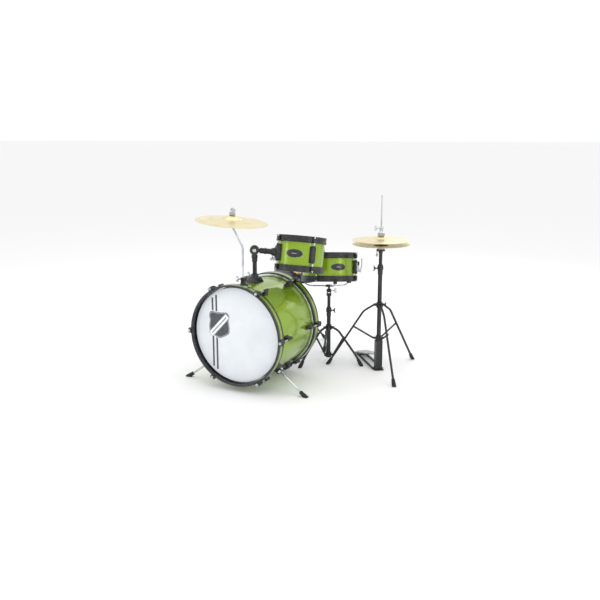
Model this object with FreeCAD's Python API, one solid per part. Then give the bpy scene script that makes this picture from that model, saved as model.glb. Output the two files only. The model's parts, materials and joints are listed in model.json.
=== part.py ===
"""Junior acoustic drum kit: bass drum with tom and crash cymbal, snare on its stand, hi-hat, throne and pedal.

Frame while modelling: the bass drum's axis lies along Y with the front (audience) edge of its front hoop at
y = 0, the drummer is on the +Y side, +Z is up and the floor is z = 0.  At the end every piece is moved by one
shift so that the origin is the bottom centre of the whole kit's bounding box.  Millimetres and degrees.
"""
import FreeCAD, Part
import math
import os

V = FreeCAD.Vector
Z = V(0, 0, 1)

# ---------------------------------------------------------------- general fits
RUN_FIT = 0.06          # radial clearance of a tube or pin that slides or turns in its hole
SIDE_GAP = 0.5          # gap between flat pieces of different bodies that swing past each other
BODY_GAP = 0.4          # gap between curved pieces of different bodies
FOOT_RADIUS = 11.0
FOOT_LENGTH = 34.0
FOOT_TOP_RADIUS = 8.5
SCREW_RADIUS = 3.0          # shank of a wing screw
SCREW_HUB_RADIUS = 5.0
SCREW_HUB_LENGTH = 9.0
SCREW_WING_RADIUS = 2.6
TOUCH = 0.05                # gap left between pieces that rest on each other

# ---------------------------------------------------------------- bass drum
BASS_SHELL_RADIUS = 203.2
BASS_SHELL_WALL = 6.0
BASS_SHELL_LENGTH = 320.0
BASS_HOOP_RADIUS = BASS_SHELL_RADIUS + 15.3
BASS_HOOP_WALL = 8.0
BASS_HOOP_DEPTH = 40.0
BASS_HEAD_RECESS = 21.5     # the hoop stands this far in front of the head's film
BASS_FLOOR_GAP = 25.0
BASS_FILM = 1.0
BASS_FLESH_DEPTH = 8.5
BASS_FLESH_UNDER_HOOP = 3.0     # the flesh hoop reaches this far under the drum's hoop
BASS_SKIRT = 1.2                # thickness of the film's folded skirt
BASS_SKIRT_GAP = 0.5            # gap between the shell and the skirt
BASS_LUG_COUNT = 6
BASS_LUG_LENGTH = 34.0
BASS_LUG_WIDTH = 17.0
BASS_LUG_HEIGHT = 27.0
BASS_LUG_FROM_HOOP = 27.0
BASS_LUG_ROUND = 4.0
BASS_ROD_RADIUS = 3.0
BASS_ROD_OUTSIDE_HOOP = 5.5
BASS_ROD_IN_LUG = 0.7           # share of the lug's length that the rod is screwed into
BASS_FLANGE_RADIUS = 6.0
BASS_FLANGE_HEIGHT = 2.0
BASS_KEY_SIZE = 6.0
BASS_CLAW_LENGTH = 30.0
BASS_CLAW_WIDTH = 20.0
BASS_CLAW_LIP = 4.0
BASS_CLAW_OUTSIDE_ROD = 8.5
BASS_CLAW_INSIDE_HOOP = 1.5     # the claw's lip stops this far short of the hoop's inner face
BASS_CLAW_ROUND = 3.5
BASS_TOP = BASS_FLOOR_GAP + BASS_HOOP_RADIUS + BASS_SHELL_RADIUS
BASS_TOTAL = BASS_SHELL_LENGTH + 2 * (BASS_HEAD_RECESS + BASS_FILM)

# ---------------------------------------------------------------- bass drum spurs
SPUR_ANGLE = -42.0          # bracket's place round the shell, down from the horizontal
SPUR_FROM_FRONT = 92.0
SPUR_FOOT_SPREAD = BASS_SHELL_RADIUS + 94.8     # foot's distance from the drum's centre plane
SPUR_FOOT_Y = 79.0
SPUR_ROD_RADIUS = 4.5
SPUR_HUB_RADIUS = 9.5
SPUR_BRACKET_LENGTH = 44.0
SPUR_BRACKET_WIDTH = 26.0
SPUR_BRACKET_HEIGHT = 12.0
SPUR_EAR = 4.0
SPUR_HUB_OUTSIDE_ROD = 4.0      # the hub is this much wider than the rod on each side
SPUR_PIN_RADIUS = 4.0
SPUR_PIN_END = 3.0
SPUR_ROD_SHORT_OF_FLOOR = 14.0
SPUR_SOLE_EXTRA = 1.5

# ---------------------------------------------------------------- tom and its mount
MOUNT_Y = BASS_SHELL_LENGTH * 0.55625
MOUNT_BASE_LENGTH = 74.0
MOUNT_BASE_WIDTH = 62.0
MOUNT_BASE_HEIGHT = 22.0
MOUNT_BASE_CHAMFER = 14.0
POST_RADIUS = 9.5
POST_SLEEVE_RADIUS = POST_RADIUS + 2.5
POST_SLEEVE_BELOW_KNUCKLE = 50.0
MOUNT_SOCKET_RADIUS = POST_RADIUS + 5.5
MOUNT_SOCKET_HEIGHT = 14.0
KNUCKLE_HEIGHT = BASS_TOP + 138.3
KNUCKLE_RADIUS = 20.0
ARM_RADIUS = 12.0
ARM_REACH = 198.0           # knuckle to the tom's centre
ARM_AZIMUTH = 29.0
KNUCKLE_HALF_WIDTH = 7.2
KNUCKLE_PIN_RADIUS = 5.0
KNUCKLE_PIN_HALF = 16.0
KNUCKLE_CAP_RADIUS = 8.0
KNUCKLE_CAP_THICKNESS = 3.5
CHEEK_THICKNESS = 6.0
CHEEK_NECK_RADIUS = 10.0
BRACKET_PLATE_DEPTH = 12.0
BRACKET_PLATE_WIDTH = 30.0
BRACKET_PLATE_HEIGHT = 58.0
BRACKET_FLARE_FROM_SHELL = 6.0
BRACKET_FLARE_LENGTH = 20.0
BRACKET_FLARE_WIDE = 24.0
BRACKET_FLARE_NARROW = 16.0
TOM_TILT = 11.0
TOM_SHELL_RADIUS = 101.6
TOM_SHELL_WALL = 5.0
TOM_SHELL_LENGTH = 134.0
TOM_HOOP_RADIUS = TOM_SHELL_RADIUS + 6.4
TOM_LUG_HEIGHT = 72.0
TOM_LUG_WIDTH = 28.0
TOM_LUG_START = -34.0

# ---------------------------------------------------------------- snare drum
SNARE_SHELL_RADIUS = 127.0
SNARE_SHELL_WALL = 5.0
SNARE_SHELL_LENGTH = 117.0
SNARE_HOOP_RADIUS = SNARE_SHELL_RADIUS + 7.0
SNARE_LUG_HEIGHT = 62.0
SNARE_LUG_WIDTH = 26.0
SNARE_LUG_START = 0.0
STRAINER_ANGLE = 24.0
WIRES_LENGTH = 2 * SNARE_SHELL_RADIUS - 48.0
WIRES_WIDTH = 42.0
WIRES_THICKNESS = 1.6
WIRES_END_LENGTH = 10.0
WIRES_END_THICKNESS = 2.4
STRAINER_WIDTH = 26.0
STRAINER_HEIGHT = 62.0
STRAINER_PIVOT_OUT = 20.0       # lever's pivot outside the shell
STRAINER_PIVOT_DOWN = 18.0
LEVER_PIN_RADIUS = 2.5

# ---------------------------------------------------------------- small drum rims, shared
RIM_HEIGHT = 27.0
RIM_ABOVE_HEAD = 9.0
RIM_FROM_SHELL = 1.2
RIM_STEP = 4.3                  # the rim clears the shell by this below the head's edge
HEAD_GAP = 0.3
HEAD_SKIRT = 0.9
HEAD_FLESH = 3.9
HEAD_FLESH_LOW = 9.0            # the flesh hoop's foot under the bearing edge
HEAD_FLESH_TOP = 4.0
FILM = 0.8
LUG_DEPTH = 13.0
LUG_COUNT = 4
LUG_ROUND = 4.0
LUG_ROD_RADIUS = 2.6
LUG_ROD_HEAD = 4.2
LUG_ROD_HEAD_HEIGHT = 6.0
LUG_ROD_IN_LUG = 16.0
LUG_ROD_FROM_SHELL = 11.4
EAR_WIDTH = 15.0
EAR_DEPTH = 10.0
EAR_BELOW_TOP = 8.0             # an ear stops this far under the rim's top

# ---------------------------------------------------------------- crash cymbal
CRASH_ROD_Y = 82.0
CRASH_ROD_RADIUS = 4.2
CRASH_BEND_HEIGHT = BASS_TOP + 165.3
CRASH_LEAN_X = -39.0
CRASH_LEAN_Y = -20.0
CRASH_LEAN_Z = 88.0
CRASH_TILT = 5.5
CRASH_RADIUS = 152.5
CRASH_HEIGHT = 27.0
CRASH_THICKNESS = 1.4
CRASH_RIM_OVER_BEND = 17.0
CRASH_ROD_OVER_BELL = 32.0
CRASH_FELT_RADIUS = 13.0
CRASH_FELT_THICKNESS = 12.0
CRASH_CUP_RADIUS = 14.0
CRASH_CUP_THICKNESS = 4.0
CRASH_NUT_RADIUS = 8.5
CRASH_NUT_TOP_RADIUS = 7.0
CRASH_NUT_HEIGHT = 8.0
CRASH_WING_RADIUS = 3.0
HOLDER_RADIUS = 12.0
HOLDER_TOP = BASS_TOP + 35.3
HOLDER_PLATE_WIDTH = 34.0
HOLDER_PLATE_LENGTH = 44.0
HOLDER_PLATE_HEIGHT = 10.0

# ---------------------------------------------------------------- snare stand
STAND_X = 171.0
STAND_Y = BASS_TOTAL + 206.0
STAND_LEG_START = -117.3
STAND_TUBE_RADIUS = 9.5
STAND_UPPER_RADIUS = 7.6
STAND_TUBE_TOP = 270.0
STAND_LOWER_COLLAR = 36.0
STAND_LEG_POINTS = ((22.0, 172.0), (50.0, 160.0), (142.0, 46.0), (162.0, 12.0))
STAND_BRACE_AT = 0.27       # share of the leg's long run, from its upper bend, where the brace is pinned
STAND_FOLD = -37.4          # the leg's swing from open to folded
TILTER_HEIGHT = 350.0
SNARE_TILT = 10.0
TILT_AZIMUTH = 27.4
TILTER_HALF_WIDTH = 5.0
TILTER_DISC_RADIUS = 8.5
TILTER_PIN_RADIUS = 3.0
TILTER_CHEEK_RADIUS = 9.0
TILTER_SHOULDER_RADIUS = 12.0
STAND_UPPER_INSIDE = 150.0      # length of the upper tube inside the fixed one
STAND_HEIGHT_COLLAR = 42.0
STAND_HEIGHT_COLLAR_WALL = 4.0
BASKET_HEIGHT = 23.0        # the arms' height over the tilter's pivot
BASKET_REACH = SNARE_HOOP_RADIUS - 33.0
BASKET_HUB_RADIUS = 17.0
BASKET_ARM_RADIUS = 3.6
BASKET_TIP_DEPTH = 16.0
BASKET_TIP_HEIGHT = 22.0
BASKET_FIRST_ARM = 40.0
BASKET_TIP_WIDTH = 14.0
BASKET_STEM_RADIUS = 4.4
SNARE_OVER_PIVOT = 111.5

# ---------------------------------------------------------------- hi-hat
HAT_X = 428.4
HAT_Y = BASS_TOTAL + 201.5
HAT_LEG_START = -52.0
HAT_COLUMN_WIDTH = 30.0
HAT_COLUMN_WALL = 2.5
HAT_COLUMN_TOP = 142.0
HAT_TUBE_RADIUS = 9.8
HAT_UPPER_RADIUS = 7.9
HAT_PULL_RADIUS = 3.0
HAT_TUBE_TOP = 478.0
HAT_LOWER_COLLAR = 152.0
HAT_LEG_POINTS = ((24.0, 309.0), (74.0, 275.0), (230.0, 25.0), (238.0, 12.0))
HAT_BRACE_AT = 0.30
HAT_FOLD = -33.5
HAT_SEAT_TOP = 571.0
HAT_CYMBAL_RADIUS = 128.5
HAT_CYMBAL_HEIGHT = 17.5
HAT_CYMBAL_THICKNESS = 1.3
HAT_RIM_HEIGHT = 590.5
HAT_OPENING = 18.0          # gap between the two rims at rest
HAT_TRAVEL = 16.0
HAT_ROD_TOP = 807.0
HAT_PEDAL_AZIMUTH = 130.0
HAT_RAIL_HEIGHT = 6.0
HAT_SLOT_HEIGHT = 78.0
HAT_COLLAR_WALL = 4.2
HAT_COLLAR_BELOW = 26.0         # the height collar starts this far under the fixed tube's top
HAT_COLLAR_ABOVE = 18.0
HAT_UPPER_INSIDE = 130.0
HAT_SEAT_RADIUS = 20.0
HAT_SEAT_DEPTH = 14.0
HAT_SEAT_FELT_RADIUS = 17.0
HAT_SEAT_FELT = 6.0
HAT_SCREW_REACH = 17.0
HAT_SCREW_RADIUS = 2.5
HAT_SCREW_BUTTON_RADIUS = 5.0
HAT_SCREW_BUTTON = 10.0
HAT_BORE_GAP = 1.5              # room round the pull rod in the seat and the lower cymbal
CLUTCH_RADIUS = 5.4
CLUTCH_HEAD_RADIUS = 8.0
CLUTCH_WASHER_RADIUS = 17.0
CLUTCH_NUT_RADIUS = 10.0
CLUTCH_FELT_RADIUS = 16.0
CLUTCH_LOWER_FELT_RADIUS = 11.0
CLUTCH_FELT = 12.0
CLUTCH_TOP = 42.0               # the clutch's top over the upper cymbal's bell
HAT_BOARD_WIDTH = 60.0
HAT_HEEL_REACH = 245.0
HAT_TOE_REACH = 33.0
HAT_HEEL_HEIGHT = 15.0
HAT_TOE_HEIGHT = 62.0

# ---------------------------------------------------------------- tripods, shared
LEG_WIDTH = 9.0
LEG_THICKNESS = 9.0
BRACE_WIDTH = 8.0
BRACE_THICKNESS = 3.0
COLLAR_WALL = 4.5
COLLAR_HEIGHT = 24.0
EAR_THICKNESS = 3.0
LEG_COUNT = 3
LEG_PIN_RADIUS = 2.5
EAR_ROOT = 3.5                  # ears start this far outside the tube

# ---------------------------------------------------------------- bass drum pedal
PEDAL_WIDTH = 78.0
PEDAL_AXLE_BEHIND_HOOP = 28.0
PEDAL_AXLE_HEIGHT = 170.0
PEDAL_HEEL_BEHIND_AXLE = 170.0
PEDAL_HEEL_HEIGHT = 15.0
PEDAL_TOE_HEIGHT = 64.0
PEDAL_PRESS = 11.0          # degrees that the footboard goes down
BEATER_LENGTH = 120.0
BEATER_RADIUS = 25.0
BEATER_SHAFT_RADIUS = 3.2
BEATER_TAIL = 26.0
BEATER_HEAD_HALF = 20.0
BEATER_FACE_RADIUS = 17.0
BEATER_SHY = 3.0            # degrees that the beater stops short of the head
AXLE_RADIUS = 6.0
AXLE_PIN_RADIUS = 5.0
CAM_RADIUS = 20.0
CAM_HALF_WIDTH = 6.0
HEEL_PIN_RADIUS = 3.0
HEEL_HUB_RADIUS = 6.5
BOARD_THICKNESS = 5.0
PEDAL_BOARD_WIDTH = 68.0
PEDAL_PLATE = 6.0
POST_WIDTH = 8.0
POST_DEPTH = 16.0
LINK_BEHIND_AXLE = 24.0
BEATER_BACK = 40.0          # the beater's lean behind the vertical at rest

# ---------------------------------------------------------------- throne and sticks
THRONE_X = -104.0
THRONE_Y = BASS_TOTAL + 402.0
SEAT_RADIUS = 125.0
SEAT_TOP = 402.0
SEAT_THICKNESS = 58.0
SEAT_EDGE_ROUND = 16.0
SEAT_PLATE_RADIUS = 62.0
SEAT_PLATE_THICKNESS = 8.5
SEAT_SOCKET_RADIUS = 17.0
SEAT_SOCKET_LENGTH = 25.0
THRONE_UPPER_RING = 172.0
THRONE_LOWER_RING = 74.0
THRONE_PIPE_LOW = 62.0
THRONE_COLLAR = 34.0
THRONE_COLLAR_WALL = 4.5
THRONE_SCREW_AZIMUTH = 200.0
THRONE_TUBE_RADIUS = 12.5
THRONE_POST_RADIUS = 10.4
THRONE_TUBE_TOP = 235.0
THRONE_FOOT_REACH = 177.0
THRONE_LEG_START = -61.0
STICK_LENGTH = 330.0
STICK_RADIUS = 6.4
STICK_AZIMUTH = -43.4
STICK_OFFSET = 42.0         # sticks' place beside the seat's centre
STICK_GAP = 2.4
STICK_LIFT = 0.3

# ---------------------------------------------------------------- values worked out from the sizes above
BASS_CENTRE_Z = BASS_FLOOR_GAP + BASS_HOOP_RADIUS
BASS_ROD_CIRCLE = BASS_HOOP_RADIUS + BASS_ROD_OUTSIDE_HOOP
BASS_HOOP_INNER = BASS_HOOP_RADIUS - BASS_HOOP_WALL
PEDAL_AXLE_Y = BASS_TOTAL + PEDAL_AXLE_BEHIND_HOOP
PEDAL_HEEL_Y = PEDAL_AXLE_Y + PEDAL_HEEL_BEHIND_AXLE
MOUNT_TOP = BASS_CENTRE_Z + BASS_SHELL_RADIUS + MOUNT_BASE_HEIGHT
HAT_TOP_RIM = HAT_RIM_HEIGHT + HAT_OPENING


# ================================================================ shape helpers
def radial(azimuth, length=1.0):
    """Horizontal vector of a length at an azimuth, counter-clockwise from +X."""
    angle = math.radians(azimuth)
    return V(length * math.cos(angle), length * math.sin(angle), 0)


def rod(start, end, radius):
    """Solid round bar between two points."""
    return Part.makeCylinder(radius, (end - start).Length, start, end - start)


def tube(start, end, radius, bore):
    """Round tube between two points, open at both ends."""
    return rod(start, end, radius).cut(rod(start, end, bore))


def cone(start, end, start_radius, end_radius):
    """Solid frustum between two points."""
    return Part.makeCone(start_radius, end_radius, (end - start).Length, start, end - start)


def box(centre, size_x, size_y, size_z):
    """Box centred on a point."""
    corner = centre - V(size_x / 2, size_y / 2, size_z / 2)
    return Part.makeBox(size_x, size_y, size_z, corner)


def fuse(shapes):
    """One solid from shapes that touch or overlap."""
    shapes = list(shapes)
    if len(shapes) == 1:
        return shapes[0]
    return shapes[0].multiFuse(shapes[1:]).removeSplitter()


def group(shapes):
    """Separate solids kept together in one node."""
    solids = []
    for shape in shapes:
        solids.extend(shape.Solids)
    return Part.makeCompound(solids)


def turned(shape, azimuth, centre=V(0, 0, 0)):
    """Shape built at azimuth 0 round the Z axis, turned and carried to a centre."""
    moved = shape.copy()
    moved.rotate(V(0, 0, 0), Z, azimuth)
    moved.translate(centre)
    return moved


def placed(shape, placement):
    """Copy of a shape that was built at the origin, at a placement."""
    moved = shape.copy()
    moved.Placement = placement.multiply(moved.Placement)
    return moved


def lathe(profile):
    """Solid of revolution about Z from (radius, height) corners."""
    points = [V(radius, 0, height) for radius, height in profile]
    wire = Part.makePolygon(points + [points[0]])
    return Part.Face(wire).revolve(V(0, 0, 0), Z, 360)


def bent_rod(points, radius):
    """Round bar through points, with a ball at each bend."""
    pieces = [rod(start, end, radius) for start, end in zip(points, points[1:])]
    pieces += [Part.makeSphere(radius, point) for point in points[1:-1]]
    return fuse(pieces)


def strip(points, width, thickness):
    """Flat bar through (radius, height) points in the XZ plane, centred on y = 0, with round ends."""
    pieces = []
    for start, end in zip(points, points[1:]):
        run = V(end[0] - start[0], 0, end[1] - start[1])
        bar = Part.makeBox(run.Length, thickness, width, V(0, -thickness / 2, -width / 2))
        bar.rotate(V(0, 0, 0), V(0, 1, 0), -math.degrees(math.atan2(run.z, run.x)))
        bar.translate(V(start[0], 0, start[1]))
        pieces.append(bar)
    for point in points:
        pieces.append(Part.makeCylinder(width / 2, thickness, V(point[0], -thickness / 2, point[1]),
                                        V(0, 1, 0)))
    return fuse(pieces)


def wing_screw(start, direction, shank, wing_span):
    """Screw with two flat wings, from a point outwards along a direction."""
    tip = start + direction * shank
    side = direction.cross(Z)
    if side.Length < 0.1:
        side = V(0, 1, 0)
    side.normalize()
    lift = direction.cross(side)
    top = tip + direction * SCREW_HUB_LENGTH
    body = rod(start, tip + direction * (SCREW_HUB_LENGTH / 2), SCREW_RADIUS)
    hub = rod(tip, top, SCREW_HUB_RADIUS)
    wings = []
    for sign in (-1, 1):
        wings.append(rod(tip + direction * 4, top + lift * (sign * wing_span / 2), SCREW_WING_RADIUS))
    return fuse([body, hub] + wings)


def ring_places(count, start=0.0):
    """Evenly spaced angles round a circle."""
    return [start + index * 360.0 / count for index in range(count)]


# ================================================================ bass drum
def along_bass(shape):
    """Shape built with its axis on +Z from z = 0, laid along +Y on the bass drum's axis."""
    laid = shape.copy()
    laid.rotate(V(0, 0, 0), V(1, 0, 0), -90)
    laid.translate(V(0, 0, BASS_CENTRE_Z))
    return laid


def mirrored_rear(shape):
    """Front-end piece mirrored to the bass drum's rear end."""
    return shape.mirror(V(0, BASS_TOTAL / 2, 0), V(0, 1, 0))


def bass_shell():
    """Maple-style cylinder, open at both ends."""
    start = BASS_HEAD_RECESS + BASS_FILM
    shell = tube(V(0, 0, start), V(0, 0, start + BASS_SHELL_LENGTH),
                 BASS_SHELL_RADIUS, BASS_SHELL_RADIUS - BASS_SHELL_WALL)
    return along_bass(shell)


def bass_head():
    """Film, the skirt it is folded down, and the flesh hoop that the drum's hoop presses on."""
    outer_film = BASS_SHELL_RADIUS + BASS_SKIRT_GAP
    skirt = outer_film + BASS_SKIRT
    flesh = BASS_HOOP_INNER + BASS_FLESH_UNDER_HOOP
    film = BASS_HEAD_RECESS
    hoop_back = BASS_HOOP_DEPTH
    flesh_back = hoop_back + BASS_FLESH_DEPTH
    profile = [(0, film), (skirt, film), (skirt, hoop_back), (flesh, hoop_back), (flesh, flesh_back),
               (outer_film, flesh_back), (outer_film, film + BASS_FILM), (0, film + BASS_FILM)]
    return along_bass(lathe(profile))


def bass_hoop():
    """Wooden hoop that overlaps the shell's edge, its profile turned round the drum's axis."""
    return along_bass(tube(V(0, 0, 0), V(0, 0, BASS_HOOP_DEPTH), BASS_HOOP_RADIUS, BASS_HOOP_INNER))


def bass_station(angle, shape):
    """Piece built at azimuth 0 and height along Z, at one tension place of the bass drum."""
    return along_bass(turned(shape, angle))


def bass_lug():
    """Lug block seated on the shell, with the hole that the tension rod screws into."""
    base = BASS_HOOP_DEPTH + BASS_LUG_FROM_HOOP
    body = Part.makeBox(BASS_LUG_HEIGHT + BASS_SHELL_WALL, BASS_LUG_WIDTH, BASS_LUG_LENGTH,
                        V(BASS_SHELL_RADIUS - BASS_SHELL_WALL, -BASS_LUG_WIDTH / 2, base))
    ends = [edge for edge in body.Edges if abs(edge.CenterOfMass.x - body.BoundBox.XMax) < 0.01]
    body = body.makeFillet(BASS_LUG_ROUND, ends)
    seat = rod(V(0, 0, base - 1), V(0, 0, base + BASS_LUG_LENGTH + 1), BASS_SHELL_RADIUS)
    hole = rod(V(BASS_ROD_CIRCLE, 0, base - 1),
               V(BASS_ROD_CIRCLE, 0, base + BASS_LUG_LENGTH * BASS_ROD_IN_LUG),
               BASS_ROD_RADIUS)
    return body.cut(seat).cut(hole)


def bass_claw():
    """Claw hooked over the hoop's front edge, bored for the tension rod."""
    outer = BASS_ROD_CIRCLE + BASS_CLAW_OUTSIDE_ROD
    inner = BASS_HOOP_INNER + BASS_CLAW_INSIDE_HOOP
    length = BASS_CLAW_LENGTH + BASS_CLAW_LIP
    block = Part.makeBox(outer - inner, BASS_CLAW_WIDTH, length,
                         V(inner, -BASS_CLAW_WIDTH / 2, -BASS_CLAW_LIP))
    ends = [edge for edge in block.Edges if abs(edge.CenterOfMass.x - outer) < 0.01]
    block = block.makeFillet(BASS_CLAW_ROUND, ends)
    hoop = rod(V(0, 0, 0), V(0, 0, BASS_CLAW_LENGTH + 1), BASS_HOOP_RADIUS)
    hole = rod(V(BASS_ROD_CIRCLE, 0, -BASS_CLAW_LIP - 1), V(BASS_ROD_CIRCLE, 0, BASS_CLAW_LENGTH + 1),
               BASS_ROD_RADIUS)
    return block.cut(hoop).cut(hole)


def bass_tension_rod():
    """Key rod: square-headed screw from the claw back into the lug."""
    head_base = -BASS_CLAW_LIP
    end = BASS_HOOP_DEPTH + BASS_LUG_FROM_HOOP + BASS_LUG_LENGTH * BASS_ROD_IN_LUG
    shank = rod(V(BASS_ROD_CIRCLE, 0, head_base), V(BASS_ROD_CIRCLE, 0, end), BASS_ROD_RADIUS)
    flange_low = head_base - BASS_FLANGE_HEIGHT
    flange = rod(V(BASS_ROD_CIRCLE, 0, flange_low), V(BASS_ROD_CIRCLE, 0, head_base), BASS_FLANGE_RADIUS)
    key_centre = V(BASS_ROD_CIRCLE, 0, flange_low - BASS_KEY_SIZE / 2)
    key = box(key_centre, BASS_KEY_SIZE, BASS_KEY_SIZE, BASS_KEY_SIZE)
    return fuse([shank, flange, key])


def bass_both_ends(maker):
    """The same small piece at every tension place of both ends."""
    shapes = []
    for angle in ring_places(BASS_LUG_COUNT):
        front = bass_station(angle, maker())
        shapes += [front, mirrored_rear(front)]
    return group(shapes)


# ---------------------------------------------------------------- spurs
def spur_frame(side):
    """Pivot point, outward unit vector and fold axis of one spur; side is +1 for +X and -1 for -X."""
    angle = math.radians(SPUR_ANGLE)
    out = V(side * math.cos(angle), 0, math.sin(angle))
    along = V(0, 1, 0)
    pivot_radius = BASS_SHELL_RADIUS + SPUR_BRACKET_HEIGHT + SPUR_HUB_RADIUS + BODY_GAP
    pivot = V(0, SPUR_FROM_FRONT, BASS_CENTRE_Z) + out * pivot_radius
    axis = out.cross(along)
    axis.normalize()
    return pivot, out, axis


def spur_bracket(side):
    """Plate on the shell with two ears that hold the spur's hub."""
    pivot, out, _ = spur_frame(side)
    ear_gap = 2 * (SPUR_ROD_RADIUS + SPUR_HUB_OUTSIDE_ROD + SIDE_GAP)
    width = ear_gap + 2 * SPUR_EAR
    plate = Part.makeBox(SPUR_BRACKET_HEIGHT + 4, SPUR_BRACKET_LENGTH, max(width, SPUR_BRACKET_WIDTH),
                         V(BASS_SHELL_RADIUS - 4, -SPUR_BRACKET_LENGTH / 2,
                           -max(width, SPUR_BRACKET_WIDTH) / 2))
    pieces = [plate]
    reach = pivot.sub(V(0, SPUR_FROM_FRONT, BASS_CENTRE_Z)).Length
    for sign in (-1, 1):
        base = sign * (ear_gap / 2 + SPUR_EAR / 2)
        ear = box(V((BASS_SHELL_RADIUS + reach) / 2, 0, base), reach - BASS_SHELL_RADIUS,
                  2 * SPUR_HUB_RADIUS, SPUR_EAR)
        knob = rod(V(reach, 0, base - SPUR_EAR / 2), V(reach, 0, base + SPUR_EAR / 2), SPUR_HUB_RADIUS)
        pieces += [ear, knob]
    body = fuse(pieces)
    body = body.cut(rod(V(0, -SPUR_BRACKET_LENGTH, 0), V(0, SPUR_BRACKET_LENGTH, 0), BASS_SHELL_RADIUS))
    body = body.cut(rod(V(reach, 0, -width), V(reach, 0, width), SPUR_PIN_RADIUS))
    turn = FreeCAD.Rotation(V(1, 0, 0), out)
    body = placed(body, FreeCAD.Placement(V(0, 0, 0), turn))
    body.translate(V(0, SPUR_FROM_FRONT, BASS_CENTRE_Z))
    return body


def spur_foot(side):
    """Point on the floor that a spur's rubber foot stands on."""
    return V(side * SPUR_FOOT_SPREAD, SPUR_FOOT_Y, 0)


def spur(side):
    """Chrome leg with its hub and pivot pin, and the rubber foot as a second solid."""
    pivot, _, axis = spur_frame(side)
    foot = spur_foot(side)
    half = SPUR_ROD_RADIUS + SPUR_HUB_OUTSIDE_ROD
    hub = rod(pivot - axis * half, pivot + axis * half, SPUR_HUB_RADIUS - BODY_GAP)
    pin_half = half + SIDE_GAP + SPUR_EAR + SPUR_PIN_END
    pin = rod(pivot - axis * pin_half, pivot + axis * pin_half, SPUR_PIN_RADIUS - RUN_FIT)
    down = foot - pivot
    down.normalize()
    end = foot - down * SPUR_ROD_SHORT_OF_FLOOR
    leg = rod(pivot, end, SPUR_ROD_RADIUS)
    metal = fuse([hub, pin, leg])
    rubber = cone(foot - down * FOOT_LENGTH, foot + down * 8, FOOT_TOP_RADIUS, FOOT_RADIUS + SPUR_SOLE_EXTRA)
    rubber = rubber.cut(box(V(foot.x, foot.y, -50), 200, 200, 100)).cut(leg)
    return group([metal, rubber])


# ================================================================ drum parts with an upright axis
def small_shell(radius, wall, length):
    """Plain cylinder of a tom or snare drum, centred on the origin."""
    return tube(V(0, 0, -length / 2), V(0, 0, length / 2), radius, radius - wall)


def small_head(radius, length):
    """Film over the bearing edge with its flesh hoop, for the upper end."""
    edge = length / 2
    inner = radius + HEAD_GAP
    skirt = radius + HEAD_SKIRT
    flesh = radius + HEAD_FLESH
    low = edge - HEAD_FLESH_LOW
    top = edge - HEAD_FLESH_TOP
    profile = [(0, edge), (inner, edge), (inner, low), (flesh, low), (flesh, top), (skirt, top),
               (skirt, edge + FILM), (0, edge + FILM)]
    return lathe(profile)


def small_rim(radius, shell_radius, length, first):
    """Moulded rim with an ear at each lug, bored for the tension rods, for the upper end."""
    edge = length / 2
    top = edge + RIM_ABOVE_HEAD
    bottom = top - RIM_HEIGHT
    inner = shell_radius + RIM_FROM_SHELL
    skirt = shell_radius + RIM_STEP
    step = edge - HEAD_FLESH_TOP
    profile = [(inner, step), (skirt, step), (skirt, bottom), (radius, bottom), (radius, top - 2),
               (radius - 2, top), (inner + 1, top), (inner, top - 1)]
    ears = []
    holes = []
    circle = lug_circle(shell_radius)
    for angle in ring_places(LUG_COUNT, first):
        ear = Part.makeBox(EAR_DEPTH, EAR_WIDTH, RIM_HEIGHT - EAR_BELOW_TOP,
                           V(radius - 1.5, -EAR_WIDTH / 2, bottom))
        ears.append(turned(ear, angle))
        holes.append(turned(rod(V(circle, 0, bottom - 5), V(circle, 0, top + 5), LUG_ROD_RADIUS), angle))
    return fuse([lathe(profile)] + ears).cut(Part.makeCompound(holes))


def lug_circle(shell_radius):
    """Radius of the circle that a small drum's tension rods stand on."""
    return shell_radius + LUG_ROD_FROM_SHELL


def lug_set(shell_radius, length, height, width, first):
    """Long lugs seated on the shell, each with a rod up to the top rim and one down to the bottom rim."""
    circle = lug_circle(shell_radius)
    ear_face = length / 2 + RIM_ABOVE_HEAD - EAR_BELOW_TOP
    seat = rod(V(0, 0, -length), V(0, 0, length), shell_radius)
    shapes = []
    for angle in ring_places(LUG_COUNT, first):
        block = Part.makeBox(LUG_DEPTH + 6, width, height, V(shell_radius - 4, -width / 2, -height / 2))
        ends = [edge for edge in block.Edges if abs(edge.CenterOfMass.x - block.BoundBox.XMax) < 0.01]
        block = block.makeFillet(LUG_ROUND, ends).cut(seat)
        for sign in (-1, 1):
            inside = V(circle, 0, sign * (height / 2 - LUG_ROD_IN_LUG))
            outside = V(circle, 0, sign * ear_face)
            shank = rod(inside, outside, LUG_ROD_RADIUS)
            block = block.cut(shank)
            head = rod(outside, outside + V(0, 0, sign * LUG_ROD_HEAD_HEIGHT), LUG_ROD_HEAD)
            shapes.append(turned(fuse([shank, head]), angle))
        shapes.append(turned(block, angle))
    return group(shapes)


def both_ends(shape):
    """Upper-end piece and its mirror image at the lower end."""
    return group([shape, shape.mirror(V(0, 0, 0), Z)])


# ================================================================ tom on its mount
def knuckle_point():
    """Centre of the tilting knuckle on top of the tom's post."""
    return V(0, MOUNT_Y, KNUCKLE_HEIGHT)


def tom_rotation():
    """Turn that leans the tom's axis towards the drummer."""
    return FreeCAD.Rotation(V(1, 0, 0), -TOM_TILT)


def tom_arm_direction():
    """Unit vector from the knuckle to the tom's centre: square to the tom's leaning axis."""
    return tom_rotation().multVec(radial(ARM_AZIMUTH))


def tom_centre():
    """Middle of the tom's shell, at the far end of the arm."""
    return knuckle_point() + tom_arm_direction() * ARM_REACH


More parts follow.
